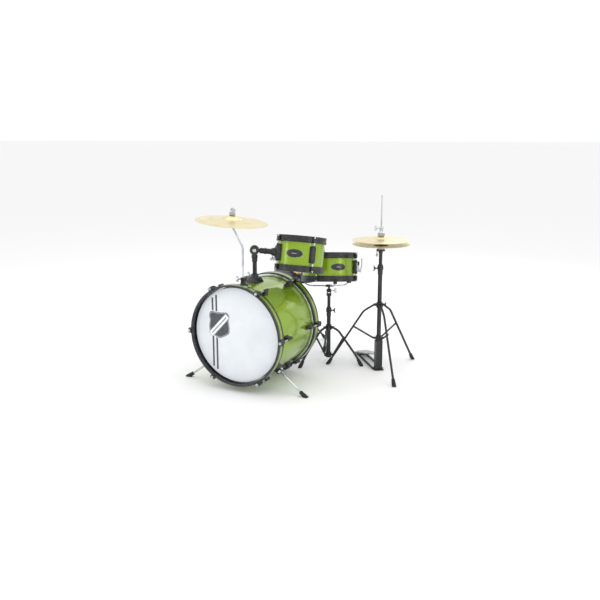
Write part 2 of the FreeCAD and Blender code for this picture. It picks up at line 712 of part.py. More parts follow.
def tom_placement():
    """Placement of the tom's own frame in the kit."""
    return FreeCAD.Placement(tom_centre(), tom_rotation())


def tom_mount_base():
    """Saddle on the shell with the socket that holds the post."""
    top_z = MOUNT_TOP
    foot = box(V(0, MOUNT_Y, top_z - MOUNT_BASE_HEIGHT / 2 - 10), MOUNT_BASE_WIDTH, MOUNT_BASE_LENGTH,
               MOUNT_BASE_HEIGHT + 20)
    upright = [edge for edge in foot.Edges if edge.BoundBox.ZLength < 0.01 and edge.CenterOfMass.z > top_z - 1]
    foot = foot.makeChamfer(MOUNT_BASE_CHAMFER, upright)
    socket = rod(V(0, MOUNT_Y, top_z - 5), V(0, MOUNT_Y, top_z + MOUNT_SOCKET_HEIGHT), MOUNT_SOCKET_RADIUS)
    clamp = wing_screw(V(-MOUNT_SOCKET_RADIUS + 2, MOUNT_Y, top_z + MOUNT_SOCKET_HEIGHT / 2), V(-1, 0, 0),
                       10, 22)
    body = fuse([foot, socket, clamp])
    shell = rod(V(0, MOUNT_Y - 100, BASS_CENTRE_Z), V(0, MOUNT_Y + 100, BASS_CENTRE_Z), BASS_SHELL_RADIUS)
    bore = rod(V(0, MOUNT_Y, BASS_CENTRE_Z + BASS_SHELL_RADIUS + 4), V(0, MOUNT_Y, top_z + 60),
               POST_RADIUS + RUN_FIT)
    return body.cut(shell).cut(bore)


def tom_post():
    """Upright tube with its sleeve and the fork cheeks of the knuckle."""
    foot_z = BASS_CENTRE_Z + BASS_SHELL_RADIUS + 5
    low = V(0, MOUNT_Y, foot_z)
    sleeve_low = V(0, MOUNT_Y, KNUCKLE_HEIGHT - POST_SLEEVE_BELOW_KNUCKLE)
    sleeve_top = V(0, MOUNT_Y, KNUCKLE_HEIGHT - KNUCKLE_RADIUS - 2)
    shaft = rod(low, sleeve_low, POST_RADIUS)
    sleeve = rod(sleeve_low, sleeve_top, POST_SLEEVE_RADIUS)
    across = radial(ARM_AZIMUTH + 90)
    cheeks = []
    for sign in (-1, 1):
        inner = knuckle_point() + across * (sign * (KNUCKLE_HALF_WIDTH + SIDE_GAP))
        outer = inner + across * (sign * CHEEK_THICKNESS)
        cheek = rod(inner, outer, KNUCKLE_RADIUS)
        neck = rod(inner, outer, CHEEK_NECK_RADIUS)
        neck.translate(V(0, 0, -KNUCKLE_RADIUS + 1))
        cheeks += [cheek, neck]
    bridge = rod(sleeve_top - V(0, 0, 4), sleeve_top, KNUCKLE_HALF_WIDTH + SIDE_GAP + CHEEK_THICKNESS)
    body = fuse([shaft, sleeve, bridge] + cheeks)
    reach = across * 60
    return body.cut(rod(knuckle_point() - reach, knuckle_point() + reach, KNUCKLE_PIN_RADIUS + RUN_FIT))


def tom_arm():
    """Knuckle disc with its cross pin and the tube that carries the tom."""
    along = tom_arm_direction()
    across = radial(ARM_AZIMUTH + 90)
    centre = knuckle_point()
    side = across * KNUCKLE_HALF_WIDTH
    disc = rod(centre - side, centre + side, KNUCKLE_RADIUS - 3)
    pin = rod(centre - across * KNUCKLE_PIN_HALF, centre + across * KNUCKLE_PIN_HALF, KNUCKLE_PIN_RADIUS)
    cap_end = centre - across * (KNUCKLE_PIN_HALF + 3)
    cap = rod(cap_end, cap_end + across * KNUCKLE_CAP_THICKNESS, KNUCKLE_CAP_RADIUS)
    flat = rod(centre, centre + along * (KNUCKLE_RADIUS + 10), KNUCKLE_HALF_WIDTH)
    pipe = rod(centre + along * (KNUCKLE_RADIUS + 3), centre + along * arm_length(), ARM_RADIUS)
    return fuse([disc, pin, cap, flat, pipe])


def arm_length():
    """Knuckle to the end of the arm inside the tom's bracket."""
    return ARM_REACH - TOM_SHELL_RADIUS - 4


def tom_bracket():
    """Plate and flared socket on the tom's shell, clamped on the arm."""
    circle = TOM_SHELL_RADIUS
    plate = box(V(circle + 2, 0, 0), BRACKET_PLATE_DEPTH, BRACKET_PLATE_WIDTH, BRACKET_PLATE_HEIGHT)
    start = V(circle + BRACKET_FLARE_FROM_SHELL, 0, 0)
    flare = cone(start, start + V(BRACKET_FLARE_LENGTH, 0, 0), BRACKET_FLARE_WIDE, BRACKET_FLARE_NARROW)
    screw = wing_screw(V(circle + 18, 0, -16), V(0, 0, -1), 8, 18)
    body = fuse([plate, flare, screw])
    body = body.cut(rod(V(0, 0, -60), V(0, 0, 60), circle))
    body = body.cut(rod(V(circle + 4, 0, 0), V(circle + 60, 0, 0), ARM_RADIUS))
    return placed(turned(body, ARM_AZIMUTH + 180), tom_placement())


# ================================================================ crash cymbal
def crash_normal():
    """Unit vector along the crash cymbal's axis."""
    angle = math.radians(CRASH_TILT)
    return V(math.sin(angle), 0, math.cos(angle))


def crash_lean_point():
    """Point where the crash rod bends towards the cymbal."""
    return V(CRASH_LEAN_X, CRASH_ROD_Y + CRASH_LEAN_Y, CRASH_BEND_HEIGHT + CRASH_LEAN_Z)


def crash_rim_centre():
    """Centre of the circle of the crash cymbal's rim."""
    return crash_lean_point() + crash_normal() * CRASH_RIM_OVER_BEND


def crash_bell_top():
    """Top of the crash cymbal's bell on its own axis."""
    return crash_rim_centre() + crash_normal() * CRASH_HEIGHT


def cymbal(radius, height, thickness, hole):
    """Cymbal dish with its bell, rim plane at z = 0 and bell upwards."""
    bell = radius * 0.25
    bow = height * 0.42
    outline = [(hole, height), (bell * 0.35, height * 0.97), (bell * 0.7, height * 0.82),
               (bell * 0.93, height * 0.6),
               (bell * 1.08, bow * 1.12), (radius * 0.45, bow * 0.86), (radius * 0.7, bow * 0.5),
               (radius, 0)]
    lower = [(r, h - thickness) for r, h in reversed(outline)]
    return lathe(outline + lower)


def crash_holder():
    """Socket on the shell that clamps the cymbal's rod."""
    base = V(0, CRASH_ROD_Y, BASS_CENTRE_Z + BASS_SHELL_RADIUS - 3)
    top = V(0, CRASH_ROD_Y, HOLDER_TOP)
    post = rod(base, top, HOLDER_RADIUS)
    plate = box(V(0, CRASH_ROD_Y, BASS_CENTRE_Z + BASS_SHELL_RADIUS), HOLDER_PLATE_WIDTH,
                HOLDER_PLATE_LENGTH, HOLDER_PLATE_HEIGHT)
    screw = wing_screw(top + V(-HOLDER_RADIUS + 2, 0, -9), V(-1, 0, 0), 10, 24)
    body = fuse([post, plate, screw])
    shell = rod(V(0, CRASH_ROD_Y - 60, BASS_CENTRE_Z), V(0, CRASH_ROD_Y + 60, BASS_CENTRE_Z),
                BASS_SHELL_RADIUS)
    bore = rod(base + V(0, 0, 8), top + V(0, 0, 10), CRASH_ROD_RADIUS + RUN_FIT)
    return body.cut(shell).cut(bore)


def crash_rod():
    """Bent rod with the seat that holds the cymbal; felts and wing nut are further solids."""
    foot = V(0, CRASH_ROD_Y, BASS_CENTRE_Z + BASS_SHELL_RADIUS + 6)
    bend = V(0, CRASH_ROD_Y, CRASH_BEND_HEIGHT)
    lean = crash_lean_point()
    normal = crash_normal()
    bell = crash_bell_top()
    top = bell + normal * CRASH_ROD_OVER_BELL
    bar = bent_rod([foot, bend, lean, top], CRASH_ROD_RADIUS)
    under = bell - normal * (CRASH_THICKNESS + BODY_GAP + 1.2)
    cup_top = under - normal * CRASH_FELT_THICKNESS
    felt_top = bell + normal * CRASH_FELT_THICKNESS
    lower_felt = tube(cup_top, under, CRASH_FELT_RADIUS, CRASH_ROD_RADIUS)
    cup = tube(cup_top - normal * CRASH_CUP_THICKNESS, cup_top, CRASH_CUP_RADIUS, CRASH_ROD_RADIUS)
    upper_felt = tube(bell + normal * BODY_GAP, felt_top, CRASH_FELT_RADIUS, CRASH_ROD_RADIUS)
    nut = cone(felt_top, felt_top + normal * CRASH_NUT_HEIGHT, CRASH_NUT_RADIUS, CRASH_NUT_TOP_RADIUS)
    wings = []
    for sign in (-1, 1):
        root = felt_top + normal * 3 + V(sign * 4, 0, 0)
        wings.append(rod(root, root + V(sign * 11, 0, 12), CRASH_WING_RADIUS))
    nut = fuse([nut] + wings).cut(rod(lean, top + normal, CRASH_ROD_RADIUS))
    return group([bar, lower_felt, cup, upper_felt, nut])


def crash_cymbal():
    """Crash cymbal, placed on its leaning rod."""
    disc = cymbal(CRASH_RADIUS, CRASH_HEIGHT, CRASH_THICKNESS, CRASH_ROD_RADIUS + 1.6)
    turn = FreeCAD.Rotation(Z, crash_normal())
    return placed(disc, FreeCAD.Placement(crash_rim_centre(), turn))


# ================================================================ folding tripods
class Tripod:
    """Folding tripod: legs on a sliding collar, braces from a fixed collar to the legs."""

    def __init__(self, name, x, y, first, points, lower, fold, brace_at, tube_radius):
        """Keep the sizes and work out where the brace is pinned on the leg."""
        self.name = name
        self.centre = V(x, y, 0)
        self.azimuths = ring_places(LEG_COUNT, first)
        self.points = points
        self.fold = fold
        self.tube_radius = tube_radius
        self.upper = points[0]
        self.lower = (points[0][0], lower)
        bend = points[1]
        knee = points[2]
        self.brace_end = (bend[0] + (knee[0] - bend[0]) * brace_at, bend[1] + (knee[1] - bend[1]) * brace_at)

    def side(self):
        """Sideways place of the brace beside its leg."""
        return LEG_THICKNESS / 2 + SIDE_GAP + BRACE_THICKNESS / 2

    def lengths(self):
        """Upper pin to brace pin, and brace pin to lower pin."""
        upper = math.dist(self.upper, self.brace_end)
        brace = math.dist(self.lower, self.brace_end)
        return upper, brace

    def open_angles(self):
        """Degrees that the open leg and the open brace stand away from upright."""
        out, height = self.brace_end
        leg = math.degrees(math.atan2(out - self.upper[0], self.upper[1] - height))
        brace = math.degrees(math.atan2(out - self.lower[0], height - self.lower[1]))
        return leg, brace

    def brace_swing(self):
        """Swing of a brace while its leg folds, from the closed triangle when folded."""
        upper, brace = self.lengths()
        open_leg, open_brace = self.open_angles()
        folded = math.radians(open_leg + self.fold)
        reach = self.upper[0] + upper * math.sin(folded) - self.lower[0]
        return math.degrees(math.asin(reach / brace)) - open_brace

    def rise(self):
        """Height that the sliding collar gains when the legs fold."""
        upper, brace = self.lengths()
        open_leg, open_brace = self.open_angles()
        folded_leg = math.radians(open_leg + self.fold)
        folded_brace = math.radians(open_brace + self.brace_swing())
        return self.lower[1] + brace * math.cos(folded_brace) + upper * math.cos(folded_leg) - self.upper[1]

    def leg(self, azimuth):
        """Bent leg with its pin and, as a second solid, the rubber foot."""
        bar = strip(self.points, LEG_WIDTH, LEG_THICKNESS)
        half = LEG_THICKNESS / 2 + SIDE_GAP + EAR_THICKNESS
        pin = rod(V(self.upper[0], -half, self.upper[1]), V(self.upper[0], half, self.upper[1]),
                  LEG_PIN_RADIUS - RUN_FIT)
        bar = fuse([bar, pin])
        end = V(self.points[-1][0], 0, self.points[-1][1])
        before = V(self.points[-2][0], 0, self.points[-2][1])
        down = end - before
        down.normalize()
        foot = cone(end - down * (FOOT_LENGTH - 12), end + down * 14, FOOT_TOP_RADIUS, FOOT_RADIUS)
        foot = foot.cut(box(V(end.x, 0, -50), 200, 200, 100)).cut(bar)
        return turned(group([bar, foot]), azimuth, self.centre)

    def brace(self, azimuth):
        """Flat brace beside the leg, with its lower pin."""
        bar = strip([self.lower, self.brace_end], BRACE_WIDTH, BRACE_THICKNESS)
        bar.translate(V(0, self.side(), 0))
        start = EAR_THICKNESS / 2 + SIDE_GAP
        pin = rod(V(self.lower[0], -EAR_THICKNESS / 2, self.lower[1]),
                  V(self.lower[0], start + 4, self.lower[1]),
                  LEG_PIN_RADIUS - RUN_FIT)
        return turned(fuse([bar, pin]), azimuth, self.centre)

    def sleeve(self, height, radius, bore):
        """Plain ring of a collar, centred on a height."""
        return tube(V(0, 0, height - COLLAR_HEIGHT / 2), V(0, 0, height + COLLAR_HEIGHT / 2), radius, bore)

    def upper_collar(self):
        """Sliding collar with a pair of ears for each leg and its wing screw."""
        radius = self.tube_radius + RUN_FIT + COLLAR_WALL
        pieces = [self.sleeve(self.upper[1], radius, self.tube_radius + RUN_FIT)]
        cutters = []
        place = LEG_THICKNESS / 2 + SIDE_GAP + EAR_THICKNESS / 2
        for azimuth in self.azimuths:
            for sign in (-1, 1):
                ear = strip([(self.tube_radius + EAR_ROOT, self.upper[1]), self.upper], LEG_WIDTH + 1,
                            EAR_THICKNESS)
                ear.translate(V(0, sign * place, 0))
                pieces.append(turned(ear, azimuth))
            pin = rod(V(self.upper[0], -20, self.upper[1]), V(self.upper[0], 20, self.upper[1]),
                      LEG_PIN_RADIUS)
            cutters.append(turned(pin, azimuth))
        screw_azimuth = self.azimuths[0] + 60
        start = radial(screw_azimuth, radius - 2) + V(0, 0, self.upper[1] + 3)
        pieces.append(wing_screw(start, radial(screw_azimuth), 9, 22))
        body = fuse(pieces)
        bore = rod(V(0, 0, self.upper[1] - 40), V(0, 0, self.upper[1] + 40), self.tube_radius + RUN_FIT)
        body = body.cut(bore).cut(Part.makeCompound(cutters))
        body.translate(self.centre)
        return body

    def lower_collar(self):
        """Ring with one ear for each brace."""
        radius = self.tube_radius + COLLAR_WALL
        pieces = [self.sleeve(self.lower[1], radius, self.tube_radius)]
        cutters = []
        offset = self.side() - BRACE_THICKNESS / 2 - SIDE_GAP - EAR_THICKNESS / 2
        for azimuth in self.azimuths:
            ear = strip([(self.tube_radius + EAR_ROOT, self.lower[1]), self.lower], BRACE_WIDTH + 2,
                        EAR_THICKNESS)
            ear.translate(V(0, offset, 0))
            pieces.append(turned(ear, azimuth))
            pin = rod(V(self.lower[0], -20, self.lower[1]), V(self.lower[0], 20, self.lower[1]),
                      LEG_PIN_RADIUS)
            cutters.append(turned(pin, azimuth))
        body = fuse(pieces)
        body = body.cut(rod(V(0, 0, self.lower[1] - 40), V(0, 0, self.lower[1] + 40), self.tube_radius))
        body = body.cut(Part.makeCompound(cutters))
        body.translate(self.centre)
        return body


def snare_tripod():
    """Sizes of the snare stand's folding legs."""
    return Tripod("snare_stand", STAND_X, STAND_Y, STAND_LEG_START, STAND_LEG_POINTS, STAND_LOWER_COLLAR,
                  STAND_FOLD, STAND_BRACE_AT, STAND_TUBE_RADIUS)


def hat_tripod():
    """Sizes of the hi-hat stand's folding legs."""
    return Tripod("hihat", HAT_X, HAT_Y, HAT_LEG_START, HAT_LEG_POINTS, HAT_LOWER_COLLAR,
                  HAT_FOLD, HAT_BRACE_AT, HAT_TUBE_RADIUS)


def height_collar(bottom, top, radius, tube_radius, screw_azimuth):
    """Tapered collar on a tube's top end, with its wing screw."""
    waist = top - (top - bottom) * 0.45
    profile = [(tube_radius, bottom), (radius - 2.5, bottom), (radius - 2.5, waist - 6), (radius, waist - 2),
               (radius, waist + 8), (radius - 3, top), (tube_radius, top)]
    screw = wing_screw(radial(screw_azimuth, radius - 2) + V(0, 0, waist + 3), radial(screw_azimuth), 9, 24)
    inner = rod(V(0, 0, bottom - 1), V(0, 0, top + 1), tube_radius)
    return fuse([lathe(profile), screw.cut(inner)])


# ================================================================ snare stand and snare drum
def stand_axis(height):
    """Point on the snare stand's axis at the given height."""
    return V(STAND_X, STAND_Y, height)


def snare_rotation():
    """Lean of the snare away from the front, about the tilter's cross axis."""
    return FreeCAD.Rotation(radial(TILT_AZIMUTH), -SNARE_TILT)


def snare_placement():
    """Placement of the snare drum's own frame in the kit."""
    lean = snare_rotation()
    return FreeCAD.Placement(stand_axis(TILTER_HEIGHT) + lean.multVec(V(0, 0, SNARE_OVER_PIVOT)), lean)


def snare_stand_tube():
    """Fixed tube with the brace collar at its foot and the height collar at its top."""
    tripod = snare_tripod()
    wall = tube(stand_axis(STAND_LOWER_COLLAR - COLLAR_HEIGHT / 2), stand_axis(STAND_TUBE_TOP),
                STAND_TUBE_RADIUS, STAND_UPPER_RADIUS + RUN_FIT)
    collar = height_collar(STAND_TUBE_TOP - STAND_HEIGHT_COLLAR, STAND_TUBE_TOP,
                           STAND_TUBE_RADIUS + STAND_HEIGHT_COLLAR_WALL, STAND_TUBE_RADIUS, TILT_AZIMUTH)
    collar.translate(stand_axis(0))
    return fuse([wall, tripod.lower_collar(), collar])


def snare_stand_upper():
    """Sliding tube with the fork that the basket's tilter is pinned in."""
    low = stand_axis(STAND_TUBE_TOP - STAND_UPPER_INSIDE)
    top = stand_axis(TILTER_HEIGHT - 14)
    shaft = rod(low, top, STAND_UPPER_RADIUS)
    shoulder = rod(stand_axis(TILTER_HEIGHT - 24), top, TILTER_SHOULDER_RADIUS)
    across = radial(TILT_AZIMUTH)
    cheeks = []
    for sign in (-1, 1):
        inner = stand_axis(TILTER_HEIGHT) + across * (sign * (TILTER_HALF_WIDTH + SIDE_GAP))
        outer = inner + across * (sign * TILTER_HALF_WIDTH)
        cheeks.append(rod(inner, outer, TILTER_CHEEK_RADIUS))
        low_in = V(inner.x, inner.y, TILTER_HEIGHT - 9)
        low_out = V(outer.x, outer.y, TILTER_HEIGHT - 9)
        cheeks.append(rod(low_in, low_out, 7.0))
    body = fuse([shaft, shoulder] + cheeks)
    reach = across * 40
    return body.cut(rod(stand_axis(TILTER_HEIGHT) - reach, stand_axis(TILTER_HEIGHT) + reach,
                        TILTER_PIN_RADIUS + RUN_FIT))


def snare_basket():
    """Tilting hub with its pin and three arms that cup the snare's lower rim."""
    across = V(1, 0, 0)
    side = across * TILTER_HALF_WIDTH
    disc = rod(side * -1, side, TILTER_DISC_RADIUS)
    pin = rod(across * -14, across * 14, TILTER_PIN_RADIUS)
    wing = wing_screw(across * 13, across, 8, 22)
    stem = rod(V(0, 0, 6), V(0, 0, BASKET_HEIGHT + 2), BASKET_STEM_RADIUS)
    hub = rod(V(0, 0, BASKET_HEIGHT - 5), V(0, 0, BASKET_HEIGHT + 5), BASKET_HUB_RADIUS)
    rim_bottom = SNARE_OVER_PIVOT - SNARE_SHELL_LENGTH / 2 - RIM_ABOVE_HEAD
    grip = SNARE_HOOP_RADIUS + 1
    pieces = [disc, pin, wing, stem, hub]
    tips = []
    for angle in ring_places(LEG_COUNT, BASKET_FIRST_ARM):
        path = [V(10, 0, BASKET_HEIGHT), V(BASKET_REACH, 0, BASKET_HEIGHT), V(grip - 4, 0, rim_bottom - 7)]
        pieces.append(turned(bent_rod(path, BASKET_ARM_RADIUS), angle))
        tip = Part.makeBox(BASKET_TIP_DEPTH, BASKET_TIP_WIDTH, BASKET_TIP_HEIGHT,
                           V(grip - 12, -BASKET_TIP_WIDTH / 2, rim_bottom - 10))
        tip = tip.cut(rod(V(0, 0, rim_bottom - TOUCH), V(0, 0, rim_bottom + 40), SNARE_HOOP_RADIUS + TOUCH))
        tips.append(turned(tip, angle))
    metal = fuse(pieces)
    tips = [tip.cut(metal) for tip in tips]
    lean = FreeCAD.Placement(stand_axis(TILTER_HEIGHT),
                             snare_rotation().multiply(FreeCAD.Rotation(Z, TILT_AZIMUTH)))
    return placed(group([metal] + tips), lean)


def strainer_frame():
    """Placement that carries strainer pieces built at azimuth 0 to their place on the snare."""
    return snare_placement().multiply(FreeCAD.Placement(V(0, 0, 0), FreeCAD.Rotation(Z, STRAINER_ANGLE)))


def snare_strainer():
    """Throw-off body on the shell, and the butt plate on the far side."""
    circle = SNARE_SHELL_RADIUS
    half = SNARE_SHELL_LENGTH / 2
    plate = box(V(circle + 3, 0, 0), 10, STRAINER_WIDTH, STRAINER_HEIGHT)
    lobe = box(V(circle + 8, 0, -8), 12, 16, 34)
    cheeks = [box(V(circle + 19, sign * 6.5, -18), 12, 3, 16) for sign in (-1, 1)]
    knob = rod(V(circle + 10, 0, 8), V(circle + 10, 0, 26), 6.0)
    body = fuse([plate, lobe, knob] + cheeks)
    shell = rod(V(0, 0, -half), V(0, 0, half), circle)
    body = body.cut(shell)
    pivot = V(circle + STRAINER_PIVOT_OUT, 0, -STRAINER_PIVOT_DOWN)
    body = body.cut(rod(pivot - V(0, 20, 0), pivot + V(0, 20, 0), LEVER_PIN_RADIUS + RUN_FIT))
    butt = box(V(-circle - 3, 0, -14), 10, 28, 30).cut(shell)
    return placed(group([body, butt]), strainer_frame())


def lever_pivot():
    """Centre of the throw-off lever's pin."""
    return strainer_frame().multVec(V(SNARE_SHELL_RADIUS + STRAINER_PIVOT_OUT, 0, -STRAINER_PIVOT_DOWN))


def lever_axis():
    """Direction of the throw-off lever's pin."""
    return strainer_frame().Rotation.multVec(V(0, 1, 0))


def snare_lever():
    """Chrome throw-off lever, pinned in the strainer."""
    x = SNARE_SHELL_RADIUS + STRAINER_PIVOT_OUT
    low = -STRAINER_PIVOT_DOWN
    hub = rod(V(x, -5 + SIDE_GAP, low), V(x, 5 - SIDE_GAP, low), 5.5)
    pin = rod(V(x, -10, low), V(x, 10, low), LEVER_PIN_RADIUS)
    arm = bent_rod([V(x, 0, low), V(x + 8, 0, 8), V(x + 8, 0, 34)], 3.2)
    grip = Part.makeSphere(4.5, V(x + 8, 0, 36))
    return placed(fuse([hub, pin, arm, grip]), strainer_frame())


def snare_wires():
    """Wire band under the lower head with its two end plates."""
    low = -SNARE_SHELL_LENGTH / 2 - FILM
    band = box(V(0, 0, low - WIRES_THICKNESS / 2 - TOUCH), WIRES_LENGTH, WIRES_WIDTH, WIRES_THICKNESS)
    ends = []
    for sign in (-1, 1):
        centre = V(sign * WIRES_LENGTH / 2, 0, low - WIRES_END_THICKNESS / 2 - 0.1)
        ends.append(box(centre, WIRES_END_LENGTH, WIRES_WIDTH + 4, WIRES_END_THICKNESS))
    return placed(fuse([band] + ends), strainer_frame())


# ================================================================ hi-hat
def hat_axis(height):
    """Point on the hi-hat's axis at the given height."""
    return V(HAT_X, HAT_Y, height)


def hat_base():
    """Column, floor frame of the pedal, fixed tube and both fixed collars, welded together."""
    tripod = hat_tripod()
    outer = box(V(0, 0, HAT_COLUMN_TOP / 2 + 2), HAT_COLUMN_WIDTH, HAT_COLUMN_WIDTH, HAT_COLUMN_TOP - 4)
    inner_width = HAT_COLUMN_WIDTH - 2 * HAT_COLUMN_WALL
    inner = box(V(0, 0, HAT_COLUMN_TOP / 2), inner_width, inner_width, HAT_COLUMN_TOP - 12)
    slot = box(V(HAT_COLUMN_WIDTH / 2, 0, 54), 20, 15, HAT_SLOT_HEIGHT)
    level = HAT_RAIL_HEIGHT / 2
    base = box(V(0, 0, level), HAT_COLUMN_WIDTH + 12, HAT_COLUMN_WIDTH + 12, HAT_RAIL_HEIGHT)
    rails = []
    for sign in (-1, 1):
        rails.append(box(V(HAT_HEEL_REACH / 2 + 10, sign * 22, level), HAT_HEEL_REACH + 20, 8,
                         HAT_RAIL_HEIGHT))
    tie = box(V(18, 0, level), 16, 52, HAT_RAIL_HEIGHT)
    heel = box(V(HAT_HEEL_REACH + 14, 0, level), 44, 56, HAT_RAIL_HEIGHT)
    ears = []
    for sign in (-1, 1):
        ears.append(strip([(HAT_HEEL_REACH, HAT_RAIL_HEIGHT), (HAT_HEEL_REACH, HAT_HEEL_HEIGHT)], 12, 4))
        ears[-1].translate(V(0, sign * 24, 0))
    lower = fuse([outer.cut(inner).cut(slot), base, tie, heel] + rails + ears)
    lower = lower.cut(rod(V(HAT_HEEL_REACH, -40, HAT_HEEL_HEIGHT), V(HAT_HEEL_REACH, 40, HAT_HEEL_HEIGHT),
                          HEEL_PIN_RADIUS + RUN_FIT))
    lower = turned(lower, HAT_PEDAL_AZIMUTH, hat_axis(0))
    pipe = tube(hat_axis(HAT_COLUMN_TOP - 10), hat_axis(HAT_TUBE_TOP), HAT_TUBE_RADIUS,
                HAT_UPPER_RADIUS + RUN_FIT)
    collar = height_collar(HAT_TUBE_TOP - HAT_COLLAR_BELOW, HAT_TUBE_TOP + HAT_COLLAR_ABOVE,
                           HAT_TUBE_RADIUS + HAT_COLLAR_WALL, HAT_TUBE_RADIUS, TILT_AZIMUTH + 180)
    collar.translate(hat_axis(0))
    neck = height_neck()
    body = fuse([lower, tripod.lower_collar(), pipe, collar, neck])
    return body.cut(rod(hat_axis(20), hat_axis(HAT_COLUMN_TOP + 5), HAT_UPPER_RADIUS + RUN_FIT))


def height_neck():
    """Guide ring in the hi-hat's height collar, over the fixed tube's end."""
    return tube(hat_axis(HAT_TUBE_TOP), hat_axis(HAT_TUBE_TOP + HAT_COLLAR_ABOVE), HAT_TUBE_RADIUS,
                HAT_UPPER_RADIUS + RUN_FIT)


def hat_upper_tube():
    """Sliding tube with the lower cymbal's seat; the seat felt is a second solid."""
    bore = HAT_PULL_RADIUS + HAT_BORE_GAP
    seat_low = HAT_SEAT_TOP - HAT_SEAT_DEPTH
    felt_low = HAT_SEAT_TOP - HAT_SEAT_FELT
    pipe = tube(hat_axis(HAT_TUBE_TOP - HAT_UPPER_INSIDE), hat_axis(seat_low + 4), HAT_UPPER_RADIUS, bore)
    cup = tube(hat_axis(seat_low), hat_axis(felt_low), HAT_SEAT_RADIUS, bore)
    felt = tube(hat_axis(felt_low), hat_axis(HAT_SEAT_TOP), HAT_SEAT_FELT_RADIUS, bore)
    side = radial(TILT_AZIMUTH + 180, HAT_SCREW_REACH)
    button_top = hat_axis(seat_low - 16) + side
    knob = rod(hat_axis(seat_low + 4) + side, button_top, HAT_SCREW_RADIUS)
    button = rod(button_top - V(0, 0, HAT_SCREW_BUTTON), button_top, HAT_SCREW_BUTTON_RADIUS)
    return group([fuse([pipe, cup, knob, button]), felt])


def hat_cymbal_bottom():
    """Lower hi-hat cymbal, bell down, lying on the felt of its seat."""
    disc = cymbal(HAT_CYMBAL_RADIUS, HAT_CYMBAL_HEIGHT, HAT_CYMBAL_THICKNESS, HAT_PULL_RADIUS + HAT_BORE_GAP)
    flipped = disc.mirror(V(0, 0, 0), Z)
    flipped.translate(hat_axis(HAT_SEAT_TOP + TOUCH + HAT_CYMBAL_HEIGHT))
    return flipped


def hat_cymbal_top():
    """Upper hi-hat cymbal, bell up, hung from the clutch."""
    disc = cymbal(HAT_CYMBAL_RADIUS, HAT_CYMBAL_HEIGHT, HAT_CYMBAL_THICKNESS, CLUTCH_RADIUS + 0.2)
    disc.translate(hat_axis(HAT_TOP_RIM))
    return disc


def hat_clutch():
    """Clutch sleeve with its wing screw and washer; the two felts are further solids."""
    bell = HAT_TOP_RIM + HAT_CYMBAL_HEIGHT
    bore = HAT_PULL_RADIUS + RUN_FIT
    top = bell + CLUTCH_TOP
    washer_top = bell + CLUTCH_FELT + 5
    nut_top = bell - 7
    barrel = tube(hat_axis(bell - 12), hat_axis(top), CLUTCH_RADIUS, bore)
    head = tube(hat_axis(washer_top), hat_axis(top), CLUTCH_HEAD_RADIUS, bore)
    washer = tube(hat_axis(bell + CLUTCH_FELT), hat_axis(washer_top), CLUTCH_WASHER_RADIUS, bore)
    side = radial(TILT_AZIMUTH + 180)
    screw = wing_screw(hat_axis(top - 8) + side * 6, side, 10, 18)
    nut = tube(hat_axis(nut_top - 7), hat_axis(nut_top), CLUTCH_NUT_RADIUS, bore)
    metal = fuse([barrel, head, washer, screw, nut])
    metal = metal.cut(rod(hat_axis(bell - 40), hat_axis(bell + 60), bore))
    upper = tube(hat_axis(bell), hat_axis(bell + CLUTCH_FELT), CLUTCH_FELT_RADIUS, CLUTCH_RADIUS)
    lower = tube(hat_axis(nut_top), hat_axis(bell - HAT_CYMBAL_THICKNESS - 1), CLUTCH_LOWER_FELT_RADIUS,
                 CLUTCH_RADIUS)
    return group([metal, upper, lower])


def hat_pull_rod():
    """Long rod with the lug at its foot that the pedal's toe pulls."""
    low = HAT_TOE_HEIGHT - 18
    shaft = rod(hat_axis(low), hat_axis(HAT_ROD_TOP), HAT_PULL_RADIUS)
    tongue = box(V(10, 0, low + 6), 22, 9, 12)
    return fuse([shaft, turned(tongue, HAT_PEDAL_AZIMUTH, hat_axis(0))])


def pedal_board(heel, toe, width, thickness, hub_radius):
    """Footboard in the XZ plane from its heel hub to its toe, narrower at the toe."""
    run = V(toe[0] - heel[0], 0, toe[1] - heel[1])
    length = run.Length
    half = width / 2
    outline = [V(8, -half, 0), V(length * 0.72, -half * 0.94, 0), V(length * 0.9, -half * 0.6, 0),
               V(length, -half * 0.36, 0), V(length, half * 0.36, 0), V(length * 0.9, half * 0.6, 0),
               V(length * 0.72, half * 0.94, 0), V(8, half, 0)]
    board = Part.Face(Part.makePolygon(outline + [outline[0]])).extrude(V(0, 0, thickness))
    slots = []
    for share in (0.3, 0.42, 0.54, 0.66):
        slots.append(box(V(length * share, 0, 0), 7, width * 0.5, thickness * 4))
    board = board.cut(Part.makeCompound(slots))
    hub = rod(V(0, -half * 0.62, 0), V(0, half * 0.62, 0), hub_radius)
    bridge = box(V(8, 0, thickness / 2), 14, width * 0.6, thickness)
    body = fuse([board, hub, bridge])
    angle = math.degrees(math.atan2(run.z, abs(run.x)))
    body.rotate(V(0, 0, 0), V(0, 1, 0), -angle)
    if run.x < 0:
        body.rotate(V(0, 0, 0), Z, 180)
    body.translate(V(heel[0], 0, heel[1]))
    return body


def hat_footboard():
    """Hi-hat pedal board with its heel pin."""
    board = pedal_board((HAT_HEEL_REACH, HAT_HEEL_HEIGHT), (HAT_TOE_REACH, HAT_TOE_HEIGHT), HAT_BOARD_WIDTH,
                        BOARD_THICKNESS, HEEL_HUB_RADIUS)
    half = HAT_BOARD_WIDTH / 2 - 1
    pin = rod(V(HAT_HEEL_REACH, -half, HAT_HEEL_HEIGHT), V(HAT_HEEL_REACH, half, HAT_HEEL_HEIGHT),
              HEEL_PIN_RADIUS)
    return turned(fuse([board, pin]), HAT_PEDAL_AZIMUTH, hat_axis(0))


